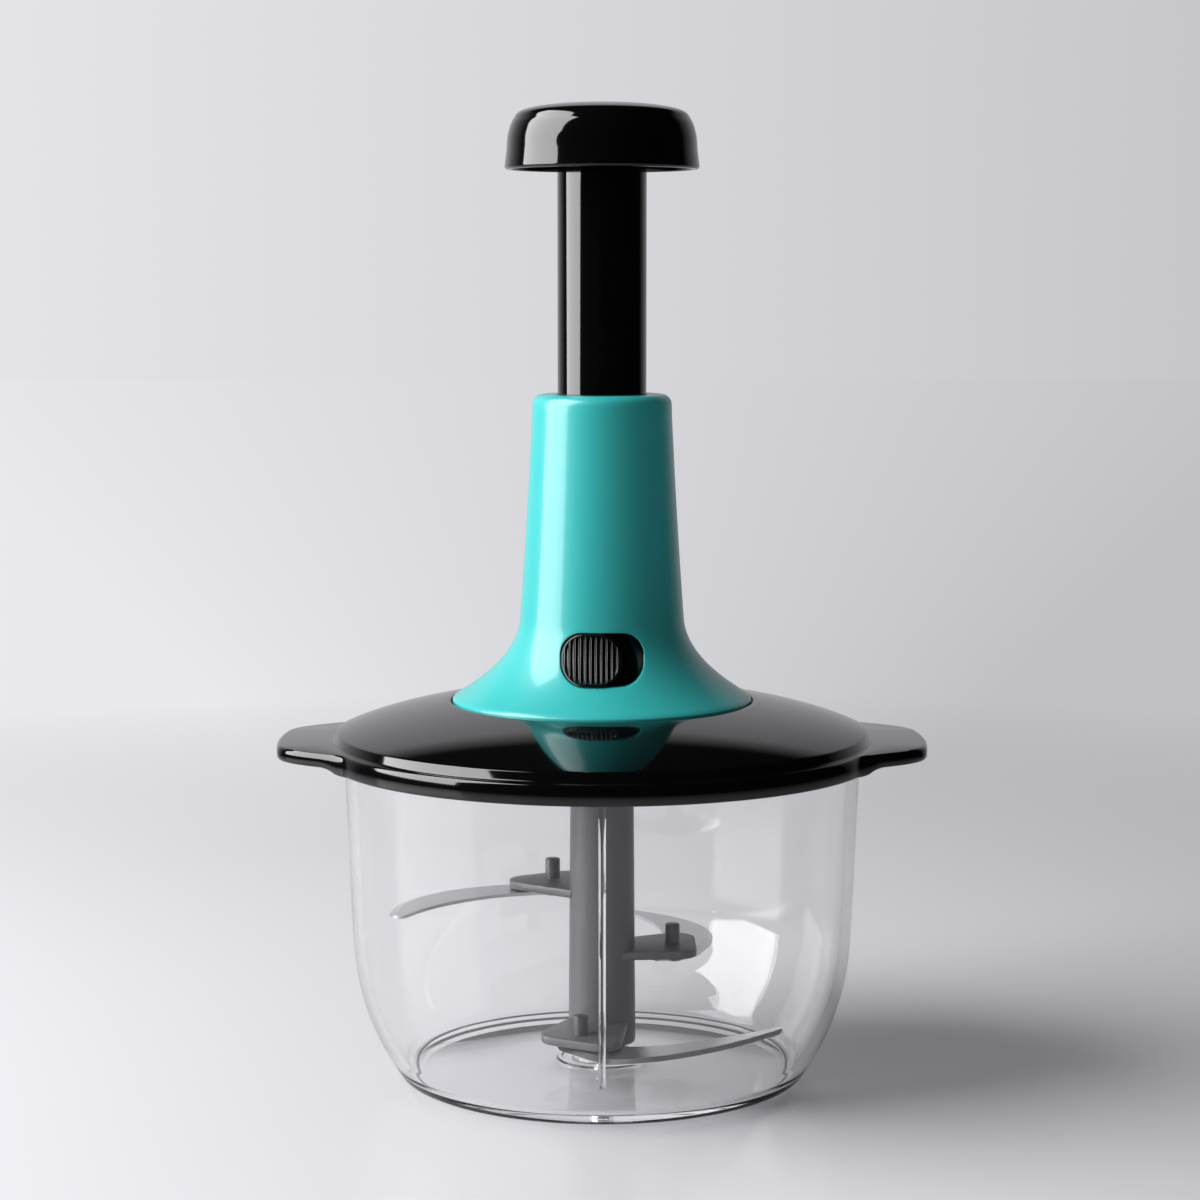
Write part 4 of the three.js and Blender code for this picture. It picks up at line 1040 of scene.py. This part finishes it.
class CHOPPER_OT_lock(bpy.types.Operator):
    """Build the ribbed lock button with the curved plate behind it"""

    bl_idname = "chopper.lock"
    bl_label = "Lock"

    def execute(self, context):
        s = sizes("chopper_lock")
        tower = sizes("chopper_tower")
        centre = box("tower_housing")[0].z + tower.slot_rise
        side = tower_side(tower)
        half_width, half_height = s.width / 2, tower.slot_height / 2 - s.margin
        left = -tower.slot_width / 2 + s.margin
        middle = left + half_width
        depth = tower.wall + SLIDING_GAP
        proud_line = beside(side, -s.proud)
        edge = 0.5
        ribs_begin = (0.5, 1.4)

        def height_over(x, z):
            """How far the button's face lies under its full height: rounded edge, then ribs."""
            qx = abs(x - middle) - half_width + s.corner
            qz = abs(z - centre) - half_height + s.corner
            inside = s.corner - math.hypot(max(qx, 0), max(qz, 0)) - min(max(qx, qz), 0)
            near = min(max(inside / edge, 0), 1)
            fall = edge * (1 - math.sqrt(1 - (1 - near) ** 2))
            groove = 1 - math.cos(math.pi * (x - middle) / s.rib_pitch) ** 4
            return fall + s.rib_depth * groove * smooth(inside, *ribs_begin)

        into_plate = 0.3
        columns, lines = 190, 36
        front, back = [], []
        for i in range(columns + 1):
            x = left + s.width * i / columns
            off = min(x - left, left + s.width - x)
            reach = half_height
            if off < s.corner:
                reach += math.sqrt(max(s.corner ** 2 - (s.corner - off) ** 2, 0)) - s.corner
            row, under = [], []
            for j in range(lines + 1):
                share = math.sin(math.pi * (j / lines - 0.5))
                z = centre + reach * share
                spot = on_line(proud_line, x, z)
                row.append((spot[0], spot[1] + height_over(x, z), z))
                under.append((x, on_line(side, x, z)[1] + depth + into_plate, z))
            front.append(row)
            back.append(under)
        skin = Skin().slab(front, back)
        low, high = box("lock_button")
        columns, lines = 48, 24
        plate = []
        for line in (beside(side, depth), beside(side, depth + s.plate_wall)):
            plate.append([
                [on_line(line, low.x + (high.x - low.x) * i / columns, low.z + (high.z - low.z) * j / lines)
                 for j in range(lines + 1)]
                for i in range(columns + 1)
            ])
        skin.slab(*plate)
        skin.piece("ribbed_lock", "lock", "lock", "black_plastic", "lock_button", crease=40)
        return {"FINISHED"}


# Blades

# In an arm's own frame, with the arm along +X: where its sides start, its two corners' middles with
# the angles of their arcs, and the blade's ground edge and back, from root to tip
ARM_START = 4
ARM_CORNERS = [(22, -6.2, -96, -13), (25.2, 7.3, -13, 98)]
BLADE_OUTER = [(20, -8.2), (28, -4.5), (33.5, 3.5), (38.2, 12), (41.8, 24), (41.8, 36.5), (37, 49.5),
               (27, 61)]
BLADE_INNER = [(15.6, -7), (13, -1), (15.4, 5), (20.4, 11), (25, 22), (26.8, 35), (25.4, 48), (21, 61)]


def turned_point(point, angle):
    x, y, z = point
    return (x * math.cos(angle) - y * math.sin(angle), x * math.sin(angle) + y * math.cos(angle), z)


class CHOPPER_OT_blades(bpy.types.Operator):
    """Build the column with its arms, the pegs, and the three curved blades"""

    bl_idname = "chopper.blades"
    bl_label = "Blades"

    def execute(self, context):
        s = sizes("chopper_blades")
        low, high = box("blade_column")
        pin = box("bowl_pin")[1]
        base, head = low.z, high.z
        bore, foot, top = pin.x + SLIDING_GAP, 10.2, 9.6
        across, socket_foot = 5.3, box("output_drive")[0].z - 1.4
        column = [
            (bore, pin.z + GAP), (bore, base + 0.3), (bore + 0.3, base), (foot - 0.6, base),
            (foot - 0.15, base + 0.15), (foot, base + 0.6), (foot - 0.01, base + 5),
            (top + 0.01, head - 3), (top, head - 0.6), (top - 0.15, head - 0.15), (top - 0.6, head),
        ]
        socket = [(across + 0.3, head), (across, head - 0.3), (across, socket_foot)]
        around = 96
        skin = Skin().solid([circle(radius, height, around) for radius, height in column]
                            + [hexagon(radius, height, around) for radius, height in socket])
        for name in ("lower", "middle", "upper"):
            self.level(s, skin, name)
        skin.piece("grey_column", "grey", "blades", "grey_plastic", "blade_column")
        return {"FINISHED"}

    def level(self, s, skin, name):
        """One arm on the column, its peg, and its blade, which lies under the arm."""
        low, high = box(f"blade_peg_{name}")
        centre = middle_of(low, high)
        azimuth = math.atan2(centre[1], centre[0])
        top = high.z - s.peg_rise
        edge = 0.5
        chamfer = edge * 0.3
        self.arm(s, skin, azimuth, top, edge, chamfer)
        blade_top = top - s.arm_thickness - GAP
        under = blade_top - s.thickness - GAP
        head, shank = s.peg_head, s.peg_radius
        Skin().post([
            (head - 0.4, low.z), (head, low.z + 0.4), (head, under), (shank, under),
            (shank, high.z - edge), (shank - chamfer, high.z - chamfer), (shank - edge, high.z),
        ], 40, centre).piece(f"blade_rivet_{name}", "peg", "blades", "grey_plastic", f"blade_peg_{name}")
        climb = math.tan(s.lower_climb) if name == "lower" else 0
        rows = self.blade(s, azimuth, blade_top, climb)
        Skin().solid(rows).piece(f"steel_blade_{name}", "blade", "blades", "blade_steel", f"blade_{name}",
                                 crease=12)

    def arm(self, s, skin, azimuth, top, edge, chamfer):
        upper_edge = [(0, -edge), (chamfer, -chamfer), (edge, 0)]
        lower_edge = [(inset, -height - s.arm_thickness) for inset, height in reversed(upper_edge)]
        rows = []
        steps = 16
        for inset, height in lower_edge + upper_edge:
            outline = [(ARM_START, inset - s.arm_root)]
            for x, y, start, end in ARM_CORNERS:
                for step in range(steps + 1):
                    angle = math.radians(start + (end - start) * step / steps)
                    reach = s.arm_corner - inset
                    outline.append((x + reach * math.cos(angle), y + reach * math.sin(angle)))
            outline.append((ARM_START, s.arm_root - inset))
            rows.append([turned_point((x, y, top + height), azimuth) for x, y in outline])
        skin.solid(rows)

    def blade(self, s, azimuth, top, climb):
        """The blade's sections from root to tip, where it narrows to a round end."""
        tip_start = 0.96
        run_steps, tip_steps = 92, 10
        stations = [(tip_start * i / run_steps, 1) for i in range(run_steps)]
        for i in range(tip_steps):
            turn = math.pi / 2 * i / tip_steps
            stations.append((tip_start + (1 - tip_start) * math.sin(turn), math.cos(turn)))
        largest_bevel, blunt = 0.6, s.thickness * 0.15
        arm_edge = ARM_CORNERS[-1][1] + s.arm_corner
        sections = []
        for along, breadth in stations:
            outer = Vector(spline_point(BLADE_OUTER, along))
            inner = Vector(spline_point(BLADE_INNER, along))
            ox, oy = outer.lerp(inner, (1 - breadth) / 2)
            ix, iy = inner.lerp(outer, (1 - breadth) / 2)
            share = min(s.bevel / math.hypot(ox - ix, oy - iy), largest_bevel)
            rx, ry = ox + (ix - ox) * share, oy + (iy - oy) * share
            section = [(ix, iy, -s.thickness), (ox, oy, -s.thickness), (ox, oy, blunt - s.thickness),
                       (rx, ry, 0), (ix, iy, 0)]
            sections.append([turned_point((x, y, z + top + climb * max(y - arm_edge, 0)), azimuth)
                             for x, y, z in section])
        return sections


# Drive

FRAME_FINISHES = {
    "acetal": ("hub_cap", "bearing_plate", "spindle_bush", "knob_core", "drive_nut", "spring_cup",
               "clutch_driver", "output_drive", "lock_ring"),
    "steel": ("thrust_washer", "lock_spring", "knob_screw", "nut_pin_left", "nut_pin_right",
              "drive_spindle", "clutch_spring"),
}


class CHOPPER_OT_drive(bpy.types.Operator):
    """Give the enclosed pieces of the drive, which keep their frame shapes, their materials"""

    bl_idname = "chopper.drive"
    bl_label = "Drive"

    def execute(self, context):
        for key, nodes in FRAME_FINISHES.items():
            for node in nodes:
                frame["nodes"][node].material_slots[0].material = finish_for(key)
        return {"FINISHED"}


# Stage

def surroundings(finish, way, tint, fill_level):
    """The studio's colour along a unit direction, lighter towards the key lamp at -X.

    The camera and the clear bowl see it whole. Reflections see only what lies low behind the object,
    and diffuse light gets an even fill.
    """
    aside, back, up = (
        finish.node("ShaderNodeSeparateXYZ", values={0: way}, output=axis) for axis in (0, 1, 2)
    )
    side = finish.ramp(aside * 0.5 + 0.5, (0.36, 0), (0.64, 1))
    light_side, dark_side, mirror_level, dark = 1.17, 0.76, 0.7, 0.004
    pale = finish.blend(side, shade(tint, light_side), shade(tint, dark_side))
    behind = finish.ramp(up, (0.50, 1), (0.60, 0)) * finish.ramp(back, (0.40, 0), (0.85, 1))
    mirrored = finish.blend(behind * mirror_level, shade([dark] * 3), pale)
    camera = finish.ray("Camera")
    seen = camera.math("MAXIMUM", camera, finish.ray("Transmission"))
    unseen = finish.blend(finish.ray("Glossy"), shade((1, 1, 1.03), fill_level), mirrored)
    return finish.blend(seen, unseen, pale)


def studio_world(tint, fill_level):
    world = bpy.data.worlds.new("studio_world")
    finish = Finish(world)
    way = finish.node("ShaderNodeTexCoord", output="Generated")
    around = surroundings(finish, way, tint, fill_level)
    sky = finish.node("ShaderNodeBackground", values={"Color": around})
    finish.done(sky, "ShaderNodeOutputWorld")
    bpy.context.scene.world = world


def floor_finish(tint, fill_level):
    """A pale satin floor that further out becomes a glow of the studio colour: painted light, lighter towards
    the key lamp. Reflections see a little of that glow, a painted reflection that is dark in front.
    """
    finish = new_finish("studio_floor")
    spot = finish.node("ShaderNodeVectorMath", {"operation": "LENGTH"}, {0: finish.place()}, "Value")
    away = finish.ramp(spot, (0.36, 0), (0.80, 1))
    cloud = finish.noise(3, 2)
    near = finish.surface({
        "Base Color": finish.blend(cloud, shade(tint, 0.98), shade(tint, 1.02)),
        "Roughness": 0.18,
        "Specular IOR Level": 0.2,
    })
    way = finish.node("ShaderNodeVectorMath", {"operation": "NORMALIZE"}, {0: finish.place()})
    around = surroundings(finish, way, tint, fill_level)
    # Further out the floor glows instead of being lit: painted light, lighter towards the key lamp
    far = finish.node("ShaderNodeEmission", values={"Color": around})
    # Reflections of the near floor are partly that glow: a painted reflection, dark in front
    plain = away + finish.ray("Glossy") * 0.35
    return finish.done(finish.node("ShaderNodeMixShader", values={0: plain, 1: near, 2: far}))


class CHOPPER_OT_stage(bpy.types.Operator):
    """Set up the floor, the pale surroundings, the lamp and the camera"""

    bl_idname = "chopper.stage"
    bl_label = "Stage"

    def execute(self, context):
        scene = context.scene
        s = scene.chopper_stage
        tint = scene.chopper_finish.studio
        reach, hub, level = 6000, 0.5, -0.5
        floor = Skin().rows([circle(radius, level, 96) for radius in (reach, hub)], closed=False)
        data = bpy.data.meshes.new("studio_ground")
        floor.cap(circle(hub, level, 96)).mesh.to_mesh(data)
        data.materials.append(floor_finish(tint, s.fill_level))
        ground = placed("studio_ground", data)
        studio_world(tint, s.fill_level)
        # The lamp's place, aim and size are metres
        place, aim = Vector((-0.99, -0.16, 0.70)), Vector((0, 0, 0.12))
        data = bpy.data.lights.new("key_window", "AREA")
        data.energy = s.key_power
        data.shape = "RECTANGLE"
        data.size, data.size_y = 1.06, 1.5
        key = placed("key_window", data)
        key.location = place
        key.rotation_euler = (aim - place).to_track_quat("-Z", "Y").to_euler()
        data = bpy.data.cameras.new("front_camera")
        data.lens = s.lens
        data.sensor_width = 36
        data.clip_start = 0.01
        camera = placed("front_camera", data)
        camera.location = (s.shift, -s.distance, s.height)
        camera.rotation_euler = (math.pi / 2 - s.pitch, 0, 0)
        scene.camera = camera
        scene.view_settings.view_transform = "Standard"
        return {"FINISHED"}


PIECES = (CHOPPER_OT_bowl, CHOPPER_OT_lid, CHOPPER_OT_tower, CHOPPER_OT_plunger, CHOPPER_OT_lock,
          CHOPPER_OT_blades, CHOPPER_OT_drive, CHOPPER_OT_stage)


class VIEW3D_PT_chopper(bpy.types.Panel):
    """The chopper's settings and the buttons that build it"""

    bl_label = "Push chopper"
    bl_category = "Chopper"
    bl_space_type = "VIEW_3D"
    bl_region_type = "UI"

    def draw(self, context):
        for name, group in SETTINGS.items():
            part = self.layout.box()
            part.label(text=name.split("_")[1].title())
            for key in group.__annotations__:
                part.prop(getattr(context.scene, name), key)
        for piece in PIECES:
            self.layout.operator(piece.bl_idname)


CLASSES = (*SETTINGS.values(), *PIECES, VIEW3D_PT_chopper)


def register():
    for made in CLASSES:
        bpy.utils.register_class(made)
    for name, group in SETTINGS.items():
        setattr(bpy.types.Scene, name, PointerProperty(type=group))


def unregister():
    for name in SETTINGS:
        delattr(bpy.types.Scene, name)
    for made in reversed(CLASSES):
        bpy.utils.unregister_class(made)


def main():
    register()
    bpy.ops.chopper.bowl()
    bpy.ops.chopper.lid()
    bpy.ops.chopper.tower()
    bpy.ops.chopper.plunger()
    bpy.ops.chopper.lock()
    bpy.ops.chopper.blades()
    bpy.ops.chopper.drive()
    bpy.ops.chopper.stage()


if __name__ == "__main__":
    main()
